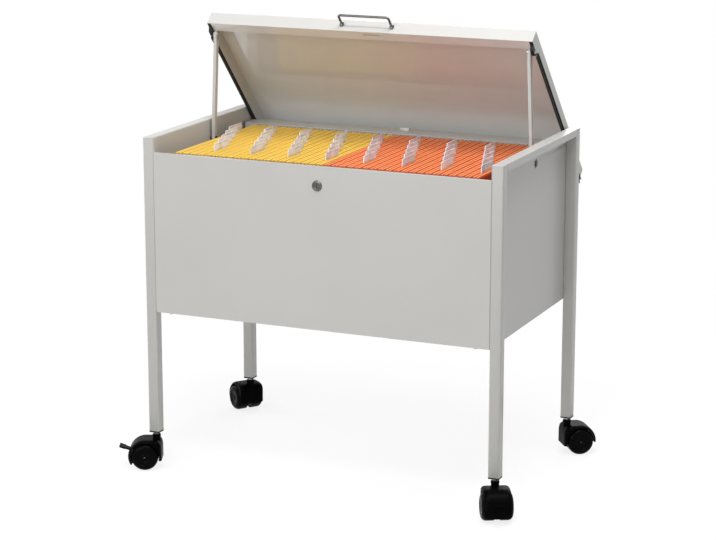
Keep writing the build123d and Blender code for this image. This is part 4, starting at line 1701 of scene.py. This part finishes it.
@dataclass
class Studio:
    """The floor, the light and the camera."""

    aim: Vector = field(default_factory=lambda: Vector((-20.532 * MM, 0.0, 356.536 * MM)))
    turn: float = 23.721
    rise: float = 13.482
    distance: float = 4.1326
    focal_pixels: float = 2244.9
    image_width: int = 716
    sensor: float = 36.0
    far_end: float = 100.0
    floor_half: float = 30.0
    world_level: float = 0.28
    lamps: tuple[Lamp, ...] = (
        Lamp("top_lamp", turn=65.0, rise=68.0, far=1.9, size=0.8, watts=14.5),
        Lamp("high_lamp", turn=10.0, rise=56.0, far=3.0, size=0.6, watts=27.0),
        Lamp("front_lamp", turn=-12.0, rise=20.0, far=3.6, size=2.2, watts=38.0),
        Lamp("left_lamp", turn=-90.0, rise=25.0, far=3.5, size=2.0, watts=30.0),
        Lamp("back_lamp", turn=180.0, rise=25.0, far=3.5, size=2.0, watts=34.0),
    )

    def camera(self) -> None:
        """The camera at the photograph's angle."""
        data = bpy.data.cameras.new("camera")
        data.sensor_width = self.sensor
        data.lens = self.focal_pixels * self.sensor / self.image_width
        data.clip_end = self.far_end
        camera = bpy.data.objects.new("camera", data)
        look_back(camera, self.aim, outward(self.turn, self.rise), self.distance)
        bpy.context.scene.camera = camera

    def floor(self) -> None:
        """The pale sweep under the cart."""
        half = self.floor_half
        form = Form()
        form.points = [Vector((x, y, 0)) for x, y in rectangle((-half, -half), (half, half))]
        form.faces = [(0, 1, 2, 3)]
        form.build("studio_floor", FloorSheet().make())

    def world(self) -> None:
        """Even light from all round that reads as white to the camera."""
        world = bpy.data.worlds.new("studio_air")
        bpy.context.scene.world = world
        world.use_nodes = True
        nodes = Nodes(world.node_tree)
        air = nodes.tree.nodes["Background"]
        nodes.link(air.inputs["Color"], WHITE)
        nodes.link(air.inputs["Strength"], self.world_level)
        white = nodes.node("ShaderNodeBackground", None, {"Color": WHITE, "Strength": 1.0})
        values = {0: nodes.seen_rays(), 1: air.outputs[0], 2: white.outputs[0]}
        chosen = nodes.node("ShaderNodeMixShader", None, values)
        nodes.link(nodes.tree.nodes["World Output"].inputs[0], chosen.outputs[0])

    def build(self) -> None:
        """Build the studio."""
        self.camera()
        self.floor()
        self.world()
        for lamp in self.lamps:
            lamp.build()
        bpy.context.scene.view_settings.view_transform = "Standard"


def main() -> None:
    """Build the cart and its studio in order."""
    logging.basicConfig(level=logging.INFO, format="%(name)s: %(message)s")
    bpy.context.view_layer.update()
    finishes = Finishes()
    Studio().build()
    Posts(finishes).build()
    for colour in Card:
        row = FileRow(finishes, colour)
        row.build()
        TabRow(finishes, row).build()
    Handle(finishes).build()
    Lock(finishes).build()
    StayBolts(finishes).build()
    for end in End:
        for side in Side:
            Castor(finishes, f"{end.value}_{side.word}", braked=end is End.FRONT).build()
    PlainNodes(finishes).build()


if __name__ == "__main__":
    main()
